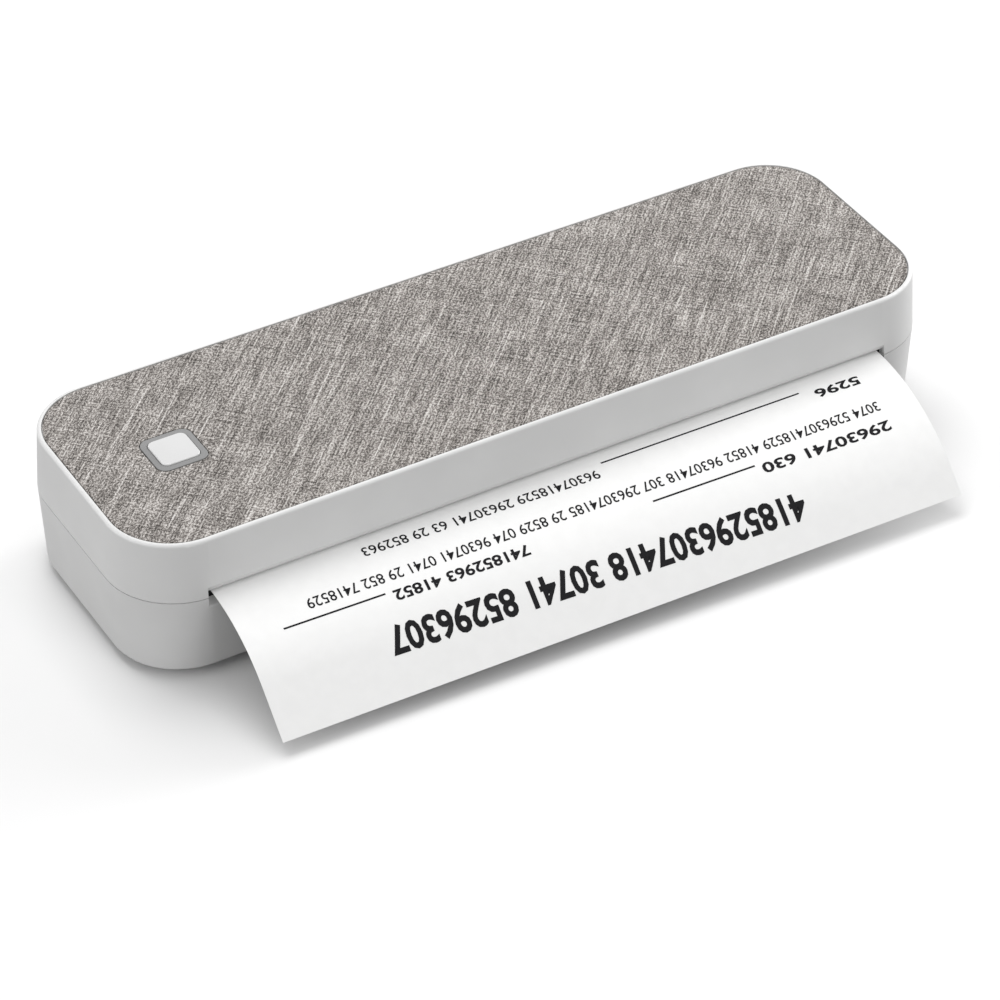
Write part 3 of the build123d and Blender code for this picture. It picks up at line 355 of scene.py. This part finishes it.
def ink(colours):
    """Thermal black: dense, slightly mottled by the dots of the head."""
    finish = Finish("thermal_ink")
    dots = finish.noise(cube(0.000125), detail=1.0)
    tone = finish.mix(dots.spread(0.35, 0.65), shaded(colours.ink, 1), shaded(colours.ink_dots, 1))
    return finish.end(tone, dots * 0.1 + 0.7, Specular_IOR_Level=0.1)


def circuit_board():
    """Green solder mask over copper runs that show as slightly lighter lines."""
    finish = Finish("circuit_board")
    cells = finish.node(
        "ShaderNodeTexBrick",
        {"offset": 0.5, "squash": 1.0},
        {
            "Vector": finish.along(cube(0.0022)),
            "Scale": 1.0,
            "Mortar Size": 0.12,
            "Mortar Smooth": 0.1,
            "Brick Width": 2.4,
            "Row Height": 0.6,
        },
    )
    runs = cells.value("Fac")
    speck = finish.noise(cube(0.0006), detail=2.0)
    tone = finish.mix(runs * 0.8 + speck * 0.15, (0.012, 0.085, 0.045, 1), (0.03, 0.16, 0.085, 1))
    return finish.end(tone, speck * 0.1 + 0.3, finish.bump(runs, 0.00003), Specular_IOR_Level=0.5)


def shrink_sleeve():
    """The blue-grey sleeve of a round cell, with soft wrinkles."""
    finish = Finish("shrink_sleeve")
    wrinkle = finish.noise((0.003, 0.012, 0.012), detail=2.0)
    cloud = finish.noise(cube(0.01), detail=2.0)
    tone = finish.mix(cloud.spread(0.3, 0.7), (0.03, 0.10, 0.16, 1), (0.045, 0.14, 0.21, 1))
    return finish.end(tone, wrinkle * 0.15 + 0.28, finish.bump(wrinkle, 0.00008, 0.5))


def finishes(colours):
    """The recipe for each slot of the record, and for the pieces that have one of their own."""
    return {
        "casing": lambda: moulding("matt_white_moulding", colours.casing, 0.5),
        "fabric": lambda: linen(colours),
        "bezel": lambda: moulding("satin_grey_frame", colours.button_frame, 0.5, grain=0.00015, mottle=0.04),
        "cap": lambda: moulding(
            "smooth_white_cap", colours.button, 0.3, grain=0.0006, depth=0.000004, coat=0.15
        ),
        "dark_plastic": lambda: moulding(
            "black_moulding", colours.inside, 0.55, grain=0.0003, depth=0.00002, mottle=0.15
        ),
        "rubber": lambda: rubber("foot_rubber", (0.018, 0.018, 0.018), 0.8, cube(0.0004), 0.00003),
        "platen_rubber": lambda: rubber(
            "ground_rubber", (0.014, 0.014, 0.015), 0.7, (0.004, 0.0002, 0.0002), 0.00002
        ),
        "steel": lambda: metal("bright_steel", (0.60, 0.60, 0.61), 0.3, (0.004, 0.0003, 0.0003)),
        "screw_steel": lambda: metal("black_zinc", (0.12, 0.12, 0.13), 0.4, cube(0.0005)),
        "bush_plastic": lambda: moulding("bush_acetal", (0.70, 0.68, 0.60), 0.42, grain=0.0004),
        "gear_plastic": lambda: moulding("gear_acetal", (0.78, 0.77, 0.72), 0.4, grain=0.0004),
        "brass": lambda: metal("turned_brass", (0.72, 0.55, 0.26), 0.28, (0.0002, 0.002, 0.002)),
        "motor": lambda: metal("plated_can", (0.52, 0.52, 0.53), 0.34, (0.0003, 0.004, 0.004)),
        "cells": shrink_sleeve,
        "nickel": lambda: metal("nickel_strip", (0.62, 0.60, 0.55), 0.3, (0.0004, 0.003, 0.003)),
        "board": circuit_board,
        "chips": lambda: moulding("moulded_epoxy", (0.02, 0.02, 0.022), 0.5, grain=0.0003, mottle=0.2),
        "plunger": lambda: moulding("plunger_plastic", (0.66, 0.66, 0.64), 0.45),
        "aluminium": lambda: metal(
            "extruded_aluminium", (0.74, 0.74, 0.75), 0.36, (0.008, 0.0004, 0.0004), 0.000008
        ),
        "ceramic": lambda: moulding(
            "lapped_ceramic", (0.72, 0.71, 0.67), 0.35, grain=0.0002, depth=0.000004
        ),
        "glaze": lambda: moulding(
            "heater_glaze", (0.20, 0.15, 0.10), 0.12, grain=0.002, depth=0.000002, coat=0.5
        ),
        "paper": lambda: thermal_paper(colours),
        "paper_roll": roll_edge,
        "printed_rows": lambda: ink(colours),
    }


finishes_made = {}


def finish_for(piece, slot):
    """A piece's own finish, or else its slot's, made the first time it is asked for."""
    recipes = finishes(bpy.context.scene.printer_colours)
    name = piece if piece in recipes else slot
    if name not in finishes_made:
        finishes_made[name] = recipes[name]()
    return finishes_made[name]


# ---- pieces ----


def finished(name, shape, body, slot):
    """Turns a finished bmesh into an object that rides on a body and wears its finish."""
    bmesh.ops.remove_doubles(shape, verts=shape.verts, dist=SAME_POINT)
    bmesh.ops.recalc_face_normals(shape, faces=shape.faces)
    mesh = bpy.data.meshes.new(name)
    for face in shape.faces:
        face.smooth = True
    for edge in shape.edges:
        edge.smooth = len(edge.link_faces) == 2 and edge.calc_face_angle() < SMOOTH_BELOW
    shape.to_mesh(mesh)
    shape.free()
    piece = bpy.data.objects.new(name, mesh)
    bpy.context.scene.collection.objects.link(piece)
    mesh.materials.append(finish_for(name, slot))
    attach(piece, body)
    return piece


def rounded_tile(shape, low, high, spare, radius, segments):
    """A flat tile with rounded corners at the panel's top, wider than a box by spare all round."""
    middle = (low + high) / 2
    size = high - low + Vector((1, 1, 0)) * 2 * spare
    place = Matrix.Translation((middle.x, middle.y, PANEL_HIGH.z))
    stretch = Matrix.Diagonal((size.x, size.y, 1, 1))
    tile = bmesh.ops.create_grid(shape, x_segments=1, y_segments=1, size=0.5, matrix=place @ stretch)
    bmesh.ops.bevel(
        shape,
        geom=tile["verts"],
        offset=radius,
        offset_type="OFFSET",
        segments=segments,
        profile=0.5,
        affect="VERTICES",
        material=-1,
        clamp_overlap=True,
    )


def cloth_skin(sizes):
    """The linen over the cover's panel: edges rolled down into the groove, a hole for the button's frame."""
    shape = bmesh.new()
    rounded_tile(shape, PANEL_LOW, PANEL_HIGH, -sizes.edge_gap, sizes.panel_radius, segments=28)
    rounded_tile(shape, BEZEL_LOW, BEZEL_HIGH, sizes.frame_gap, sizes.frame_radius, segments=12)
    rims = list(shape.edges)
    bmesh.ops.delete(shape, geom=shape.faces[:], context="FACES_ONLY")
    bmesh.ops.triangle_fill(shape, use_beauty=True, use_dissolve=False, edges=rims, normal=(0, 0, 1))
    raised = bmesh.ops.extrude_face_region(shape, geom=shape.faces[:], use_keep_orig=True)
    lowered = [part for part in raised["geom"] if isinstance(part, bmesh.types.BMVert)]
    bmesh.ops.translate(shape, verts=lowered, vec=(0, 0, PANEL_LOW.z - PANEL_HIGH.z))
    rim_edges = [
        edge
        for edge in shape.edges
        if all(abs(vert.co.z - PANEL_HIGH.z) < SAME_POINT for vert in edge.verts)
        and len(edge.link_faces) == 2
        and edge.calc_face_angle() > SMOOTH_BELOW
    ]
    bmesh.ops.bevel(
        shape,
        geom=rim_edges,
        offset=sizes.roll,
        offset_type="OFFSET",
        segments=4,
        profile=0.5,
        affect="EDGES",
        material=-1,
        clamp_overlap=True,
    )
    return shape


class SheetEdge:
    """One long edge of the sheet: flat inside the printer, curling down, then straight to its end."""

    def __init__(self, x, start, radius, angle, tail):
        self.x = x
        self.start = start + MIDDLE_Y
        self.radius = radius
        self.angle = angle
        self.tail = tail
        self.level = SHEET_HIGH.z
        self.length = tail + radius * angle + SHEET_HIGH.y - self.start

    def at(self, distance):
        """The point this far from the free end, and how far the edge has turned down there."""
        if distance < self.tail:
            y, z = self._bend(self.angle)
            past = self.tail - distance
            return Vector((self.x, y - past * cos(self.angle), z - past * sin(self.angle))), self.angle
        turn = self.angle - (distance - self.tail) / self.radius
        if turn > 0:
            return Vector((self.x, *self._bend(turn))), turn
        return Vector((self.x, self.start - self.radius * turn, self.level)), 0.0

    def _bend(self, turn):
        """The place along and up where the curl has turned down this far."""
        return self.start - self.radius * sin(turn), self.level - self.radius * (1 - cos(turn))


class SheetSurface:
    """The printed side of the sheet, ruled between its two long edges."""

    def __init__(self, sizes):
        self.left = SheetEdge(
            SHEET_LOW.x, sizes.left_start, sizes.left_radius, sizes.left_angle, sizes.left_tail
        )
        self.right = SheetEdge(
            SHEET_HIGH.x, sizes.right_start, sizes.right_radius, sizes.right_angle, sizes.right_tail
        )

    def share(self, x):
        """How far x lies from the left edge towards the right one."""
        return (x - self.left.x) / (self.right.x - self.left.x)

    def length(self, x):
        """The sheet's length at x, from its free end to its rear end."""
        return self.left.length + (self.right.length - self.left.length) * self.share(x)

    def point(self, x, distance, height=0.0):
        """The point at x, this far from the free end along the sheet and this high above its face."""
        share = self.share(x)
        along = distance / self.length(x)
        left, left_turn = self.left.at(along * self.left.length)
        right, right_turn = self.right.at(along * self.right.length)
        turn = left_turn + (right_turn - left_turn) * share
        return left.lerp(right, share) + Vector((0, -sin(turn), cos(turn))) * height


def hanging_sheet(sizes):
    """The sheet as one thin closed piece, its cells crowded towards the free end."""
    crowding = 1.5
    shape = bmesh.new()
    bmesh.ops.create_grid(shape, x_segments=sizes.across, y_segments=sizes.down, size=0.5)
    surface = SheetSurface(sizes)
    for vert in shape.verts:
        x = surface.left.x + (vert.co.x + 0.5) * (surface.right.x - surface.left.x)
        share = vert.co.y + 0.5
        vert.co = surface.point(x, share**crowding * surface.length(x))
    bmesh.ops.recalc_face_normals(shape, faces=shape.faces)
    if sum(face.normal.z for face in shape.faces) < 0:
        bmesh.ops.reverse_faces(shape, faces=shape.faces)
    bmesh.ops.solidify(shape, geom=shape.faces[:], thickness=sizes.thickness)
    return shape


def digits(groups, start):
    """Groups of counting digits of the given lengths, with spaces between."""
    words = []
    for length in groups:
        words.append("".join(str((start + step * 7) % 10) for step in range(length)))
        start += length * 3
    return " ".join(words)


def glyphs(text, weight):
    """The flat outlines of a line of text as a mesh."""
    curve = bpy.data.curves.new("print_line", "FONT")
    curve.body = text
    curve.offset = weight
    curve.resolution_u = 3
    holder = bpy.data.objects.new("print_line", curve)
    bpy.context.scene.collection.objects.link(holder)
    seen = holder.evaluated_get(bpy.context.evaluated_depsgraph_get())
    flat = bmesh.new()
    flat.from_mesh(seen.to_mesh())
    seen.to_mesh_clear()
    bpy.data.objects.remove(holder)
    bpy.data.curves.remove(curve)
    return flat


def laid_on(sheet, flat, row, sizes):
    """Stretches a flat drawing between the two ends of its row and bends it onto the sheet."""
    lows = [min(vert.co[axis] for vert in flat.verts) for axis in (0, 1)]
    highs = [max(vert.co[axis] for vert in flat.verts) for axis in (0, 1)]
    for vert in flat.verts:
        share = (vert.co.x - lows[0]) / (highs[0] - lows[0])
        foot = row.near + (row.far - row.near) * share
        rise = (vert.co.y - lows[1]) / (highs[1] - lows[1]) * row.height
        vert.co = Vector((row.start + (row.end - row.start) * share, foot - rise, 0))
    reach = [min(vert.co.y for vert in flat.verts), max(vert.co.y for vert in flat.verts)]
    cuts = int((reach[1] - reach[0]) / sizes.slice) + 1
    for cut in range(cuts):
        bmesh.ops.bisect_plane(
            flat,
            geom=flat.verts[:] + flat.edges[:] + flat.faces[:],
            plane_co=(0, reach[0] + (cut + 0.5) * sizes.slice, 0),
            plane_no=(0, 1, 0),
        )
    bmesh.ops.remove_doubles(flat, verts=flat.verts, dist=SAME_POINT)
    raised = bmesh.ops.extrude_face_region(flat, geom=flat.faces[:], use_keep_orig=True)
    tops = [part for part in raised["geom"] if isinstance(part, bmesh.types.BMVert)]
    bmesh.ops.translate(flat, verts=tops, vec=(0, 0, sizes.ink))
    for vert in flat.verts:
        vert.co = sheet.point(vert.co.x, vert.co.y, vert.co.z + sizes.ink_gap)
    return flat


def ruled_line():
    """A flat strip cut into short lengths, so that it can follow the sheet."""
    flat = bmesh.new()
    bmesh.ops.create_grid(flat, x_segments=24, y_segments=1, size=0.5)
    return flat


class Row:
    """A row of print, in millimetres: it runs from x = start to x = end, where its foot lies near and far
    from the sheet's free end. Groups of digits fill it, or a ruled line where there are none.
    """

    def __init__(self, start, end, near, far, height, groups=(), weight=0.0, first=1):
        self.start = start * MM
        self.end = end * MM
        self.near = near * MM
        self.far = far * MM
        self.height = height * MM
        self.groups = groups
        self.weight = weight
        self.first = first


BODY_GROUPS = (4, 13, 5, 8, 3, 10, 2, 4, 3, 7, 4, 2, 3, 7)
ROWS = [
    Row(59, -68, near=16.3, far=19.3, height=8.3, groups=(13, 5, 8), weight=0.03, first=4),
    Row(93.5, 52, near=27, far=27.2, height=3.3, groups=(8, 3), weight=0.026, first=2),
    Row(50.3, 18, near=27.4, far=27.5, height=0.5),
    Row(-21, -61.5, near=27.8, far=28, height=3.3, groups=(9, 5), weight=0.026, first=7),
    Row(-63.5, -93.3, near=28, far=28.2, height=0.5),
    Row(93.5, -84.3, near=33.5, far=33.9, height=3.2, groups=BODY_GROUPS, weight=0.008, first=3),
    Row(8.8, -63, near=42.5, far=43.4, height=3.2, groups=(11, 8, 2, 2, 6), weight=0.008, first=9),
    Row(93.6, 79.3, near=43.9, far=44.0, height=3.3, groups=(4,), weight=0.026, first=5),
    Row(75.2, 11.3, near=44.9, far=44.4, height=0.5),
]


def joined(parts):
    """Several bmeshes as one."""
    whole = bmesh.new()
    for part in parts:
        step = bpy.data.meshes.new("step")
        part.to_mesh(step)
        part.free()
        whole.from_mesh(step)
        bpy.data.meshes.remove(step)
    return whole


def printed_rows(sizes):
    """All the print on the sheet."""
    sheet = SheetSurface(sizes)
    rows = []
    for row in ROWS:
        flat = glyphs(digits(row.groups, row.first), row.weight) if row.groups else ruled_line()
        rows.append(laid_on(sheet, flat, row, sizes))
    return joined(rows)


# ---- stage ----


def ground(studio):
    """A pale floor that runs out of sight."""
    shape = bmesh.new()
    bmesh.ops.create_grid(shape, x_segments=1, y_segments=1, size=studio.floor_reach)
    mesh = bpy.data.meshes.new("floor")
    shape.to_mesh(mesh)
    shape.free()
    floor = bpy.data.objects.new("floor", mesh)
    bpy.context.scene.collection.objects.link(floor)
    finish = Finish("floor")
    seen = finish.node("ShaderNodeLightPath", {}, {}).value("Is Camera Ray")
    tone = finish.mix(seen, grey(studio.floor_bounce), grey(studio.floor_tone))
    mesh.materials.append(finish.end(tone, 1.0, Specular_IOR_Level=0.0))
    return floor


FULL_FRAME = 36
CLIP_END = 20
# Each lamp's place about the casing's middle, and its width and height.
LAMPS = {
    "key": ((-0.05, 0.5, 1.35), (0.9, 0.8)),
    "front": ((0.2, -1.3, 1.0), (0.8, 0.8)),
    "left": ((-1.6, 0.1, 0.6), (1.0, 0.8)),
    "right": ((1.6, 0.2, 0.5), (1.0, 0.8)),
}


def soft_lamp(side, power):
    """A wide lamp that shines on the casing's middle."""
    place, size = LAMPS[side]
    light = bpy.data.lights.new(f"{side}_lamp", "AREA")
    light.shape = "RECTANGLE"
    light.size, light.size_y = size
    light.energy = power
    lamp = bpy.data.objects.new(light.name, light)
    lamp.location = Vector(place) + Vector((0, MIDDLE_Y, 0))
    lamp.rotation_euler = (-Vector(place)).to_track_quat("-Z", "Y").to_euler()
    bpy.context.scene.collection.objects.link(lamp)
    return lamp


def surroundings(studio):
    """White to the camera and in reflections, and a softer grey as a source of light."""
    world = bpy.data.worlds.new("surroundings")
    bpy.context.scene.world = world
    world.use_nodes = True
    nodes, links = world.node_tree.nodes, world.node_tree.links
    nodes.clear()
    path = nodes.new("ShaderNodeLightPath")
    output = nodes.new("ShaderNodeOutputWorld")
    dim, white = nodes.new("ShaderNodeBackground"), nodes.new("ShaderNodeBackground")
    for background, strength in ((dim, studio.sky), (white, 1.0)):
        background.inputs["Color"].default_value = grey(1)
        background.inputs["Strength"].default_value = strength
    choice = nodes.new("ShaderNodeMixShader")
    seen = nodes.new("ShaderNodeMath")
    seen.operation = "MAXIMUM"
    links.new(path.outputs["Is Camera Ray"], seen.inputs[0])
    links.new(path.outputs["Is Glossy Ray"], seen.inputs[1])
    links.new(seen.outputs["Value"], choice.inputs["Fac"])
    links.new(dim.outputs["Background"], choice.inputs[1])
    links.new(white.outputs["Background"], choice.inputs[2])
    links.new(choice.outputs["Shader"], output.inputs["Surface"])


def viewing_camera(studio):
    """The camera, ahead of the printer and to its left, looking down on it."""
    data = bpy.data.cameras.new("camera")
    data.lens = studio.lens
    data.sensor_width = FULL_FRAME
    data.clip_end = CLIP_END
    camera = bpy.data.objects.new("camera", data)
    camera.location = (studio.camera_x, studio.camera_y + MIDDLE_Y, studio.camera_z)
    camera.rotation_euler = (radians(90) - studio.camera_down, 0, -studio.camera_turn)
    bpy.context.scene.collection.objects.link(camera)
    bpy.context.scene.camera = camera
    return camera


# ---- settings ----


def length_setting(name, description, default):
    """A length of nought or more."""
    return bpy.props.FloatProperty(
        name=name,
        description=description,
        default=default,
        min=0,
        precision=5,
        subtype="DISTANCE",
        unit="LENGTH",
    )


def place_setting(name, description, default):
    """A place along an axis, on either side of nought."""
    return bpy.props.FloatProperty(
        name=name,
        description=description,
        default=default,
        precision=5,
        subtype="DISTANCE",
        unit="LENGTH",
    )


def angle_setting(name, description, default):
    """An angle, its default given in degrees."""
    return bpy.props.FloatProperty(
        name=name,
        description=description,
        default=radians(default),
        subtype="ANGLE",
        unit="ROTATION",
    )


def count_setting(name, description, default):
    """A number of cells."""
    return bpy.props.IntProperty(name=name, description=description, default=default, min=1)


def tone_setting(name, description, default):
    """A grey, short of pure white."""
    return bpy.props.FloatProperty(name=name, description=description, default=default, min=0, max=0.99)


def power_setting(name, description, default):
    """A lamp's power."""
    return bpy.props.FloatProperty(name=name, description=description, default=default, min=0, unit="POWER")


def colour_setting(name, description, default):
    """A colour in linear light."""
    return bpy.props.FloatVectorProperty(
        name=name,
        description=description,
        default=default,
        size=3,
        min=0,
        max=1,
        subtype="COLOR",
    )


class PrinterSizes(bpy.types.PropertyGroup):
    panel_radius: length_setting("Panel corner", "Plan radius of the cloth's corners", 0.01805)
    turn_in: length_setting("Turn-in", "Cloth that is turned down round the edge", 0.0008)
    edge_gap: length_setting("Edge groove", "How far the cloth stays inside its panel at the rim", 0.00025)
    frame_gap: length_setting("Frame gap", "Bare line between the cloth and the button's frame", 0.0003)
    frame_radius: length_setting("Hole corner", "Corner radius of the hole for the button's frame", 0.0033)
    roll: length_setting("Edge roll", "Radius of the cloth's rolled edge", 0.0004)
    thickness: length_setting("Sheet thickness", "Thickness of the paper", 0.0001)
    across: count_setting("Cells across", "Cells across the sheet", 40)
    down: count_setting("Cells down", "Cells along the sheet", 90)
    left_start: place_setting("Left curl start", "Where the left edge starts to curl", -0.03614)
    left_radius: length_setting("Left curl radius", "Radius of the left edge's curl", 0.04176)
    left_angle: angle_setting("Left curl angle", "How far the left edge turns down", 45.73)
    left_tail: length_setting("Left tail", "Straight end of the left edge", 0.01508)
    right_start: place_setting("Right curl start", "Where the right edge starts to curl", -0.03817)
    right_radius: length_setting("Right curl radius", "Radius of the right edge's curl", 0.05292)
    right_angle: angle_setting("Right curl angle", "How far the right edge turns down", 45.56)
    right_tail: length_setting("Right tail", "Straight end of the right edge", 0.00824)
    slice: length_setting("Print slice", "Height of the slices that bend the print onto the sheet", 0.0007)
    ink: length_setting("Ink depth", "Thickness of the darkened coating", 0.00002)
    ink_gap: length_setting("Ink gap", "Height of the ink's underside over the paper", 0.00002)


class PrinterColours(bpy.types.PropertyGroup):
    casing: colour_setting("Casing", "White moulding of the base and the cover", (0.745, 0.745, 0.742))
    inside: colour_setting("Inside", "Black moulding of the chassis and the liner", (0.026, 0.026, 0.028))
    button: colour_setting("Button", "The button's cap", (0.64, 0.64, 0.64))
    button_frame: colour_setting("Button frame", "The satin frame round the cap", (0.23, 0.23, 0.23))
    yarn_shadow: colour_setting("Yarn shadow", "The gaps of the weave", (0.043, 0.038, 0.034))
    yarn: colour_setting("Yarn", "The darker yarns", (0.262, 0.24, 0.223))
    yarn_light: colour_setting("Light yarn", "The lighter yarns", (0.625, 0.59, 0.563))
    yarn_brightest: colour_setting("Brightest yarn", "The thick, pale slubs", (0.81, 0.785, 0.76))
    paper: colour_setting("Paper", "The clear stock", (0.935, 0.935, 0.93))
    paper_cloud: colour_setting("Paper cloud", "The fibre cloud in the stock", (0.915, 0.915, 0.91))
    ink: colour_setting("Ink", "The darkened coating", (0.008, 0.008, 0.009))
    ink_dots: colour_setting("Ink dots", "The lighter dots in the darkened coating", (0.022, 0.022, 0.024))


class StudioSizes(bpy.types.PropertyGroup):
    floor_reach: length_setting("Floor reach", "Half the floor's side", 6.0)
    floor_tone: tone_setting("Floor tone", "Grey of the floor", 0.885)
    floor_bounce: tone_setting("Floor bounce", "Grey of the floor as the object sees it", 0.38)
    sky: bpy.props.FloatProperty(name="Sky", description="Light from all round", default=0.56, min=0)
    key: power_setting("Key", "Power of the overhead lamp", 9)
    front: power_setting("Front", "Power of the lamp ahead", 2.8)
    left: power_setting("Left", "Power of the lamp at the left", 6.2)
    right: power_setting("Right", "Power of the lamp at the right", 20)
    lens: bpy.props.FloatProperty(name="Lens", description="Focal length in mm", default=146.61, min=1)
    camera_x: place_setting("Camera X", "Camera's place along the casing", -0.45262)
    camera_y: place_setting("Camera Y", "Camera's place from the casing's middle", -0.783432)
    camera_z: place_setting("Camera Z", "Camera's height", 0.70513)
    camera_turn: angle_setting("Camera turn", "Camera's heading from straight behind the front", 30.26)
    camera_down: angle_setting("Camera tilt", "How far the camera looks down", 38.32)


# ---- operators ----


class PRINTER_OT_finishes(bpy.types.Operator):
    """Give every piece of the frame its procedural finish"""

    bl_idname = "printer.finishes"
    bl_label = "Finish the Frame"

    def execute(self, context):
        for part in frame["record"]["subparts"]:
            node = frame["nodes"][part["node"]]
            material = finish_for(part["node"], part["material_slot"])
            if not node.material_slots:
                node.data.materials.append(material)
            for slot in node.material_slots:
                slot.material = material
        return {"FINISHED"}


class PRINTER_OT_springs(bpy.types.Operator):
    """Give the strips over the print head a copy of their mesh of their own; the head's lift is read, but
    their shape stays as it is
    """

    bl_idname = "printer.springs"
    bl_label = "Flatten Springs"

    def execute(self, context):
        low, high = (Vector(corner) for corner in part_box("head_springs"))
        joints = {joint["name"]: joint for joint in frame["record"]["behaviour"]["joints"]}
        lift = joints["head_float"]["range_m"][1]
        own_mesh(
            frame["nodes"]["head_springs"],
            "head_float",
            axis=(0, 0, 1),
            anchor=tuple(high),
            keep=1 - lift / (high.z - low.z),
        )
        return {"FINISHED"}


class PRINTER_OT_cloth(bpy.types.Operator):
    """Stretch the linen over the cover's panel"""

    bl_idname = "printer.cloth"
    bl_label = "Add Cloth"

    def execute(self, context):
        sizes = context.scene.printer_sizes
        skin = finished("linen_skin", cloth_skin(sizes), "cover", "fabric")
        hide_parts("fabric_panel")
        return {"FINISHED"}


class PRINTER_OT_sheet(bpy.types.Operator):
    """Hang the sheet from the outlet"""

    bl_idname = "printer.sheet"
    bl_label = "Add Sheet"

    def execute(self, context):
        sizes = context.scene.printer_sizes
        sheet = finished("hanging_sheet", hanging_sheet(sizes), "sheet", "paper")
        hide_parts("paper_sheet")
        return {"FINISHED"}


class PRINTER_OT_print(bpy.types.Operator):
    """Print rows of digits and rules on the sheet"""

    bl_idname = "printer.rows"
    bl_label = "Add Print"

    def execute(self, context):
        finished("printed_rows", printed_rows(context.scene.printer_sizes), "sheet", "paper")
        return {"FINISHED"}


class PRINTER_OT_studio(bpy.types.Operator):
    """Set up the floor, the lamps and the camera"""

    bl_idname = "printer.studio"
    bl_label = "Set Up Studio"

    def execute(self, context):
        studio = context.scene.printer_studio
        context.scene.view_settings.view_transform = "Standard"
        surroundings(studio)
        ground(studio)
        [soft_lamp(side, getattr(studio, side)) for side in LAMPS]
        viewing_camera(studio)
        return {"FINISHED"}


class PRINTER_PT_panel(bpy.types.Panel):
    """The printer's sizes and operators"""

    bl_idname = "PRINTER_PT_panel"
    bl_label = "Portable Printer"
    bl_space_type = "VIEW_3D"
    bl_region_type = "UI"
    bl_category = "Printer"

    def draw(self, context):
        for operator in OPERATORS:
            self.layout.operator(operator.bl_idname)
        for group in (getattr(context.scene, name) for name in SETTINGS):
            box = self.layout.box()
            for name in group.__class__.__annotations__:
                box.prop(group, name)


OPERATORS = [
    PRINTER_OT_finishes,
    PRINTER_OT_springs,
    PRINTER_OT_cloth,
    PRINTER_OT_sheet,
    PRINTER_OT_print,
    PRINTER_OT_studio,
]
SETTINGS = {
    "printer_sizes": PrinterSizes,
    "printer_colours": PrinterColours,
    "printer_studio": StudioSizes,
}
CLASSES = [*SETTINGS.values(), *OPERATORS, PRINTER_PT_panel]


def register():
    for made_class in CLASSES:
        bpy.utils.register_class(made_class)
    for name, group in SETTINGS.items():
        setattr(bpy.types.Scene, name, bpy.props.PointerProperty(type=group))


def unregister():
    for name in SETTINGS:
        delattr(bpy.types.Scene, name)
    for made_class in reversed(CLASSES):
        bpy.utils.unregister_class(made_class)


def main():
    register()
    bpy.ops.printer.finishes()
    bpy.ops.printer.springs()
    bpy.ops.printer.cloth()
    bpy.ops.printer.sheet()
    bpy.ops.printer.rows()
    bpy.ops.printer.studio()


if __name__ == "__main__":
    main()
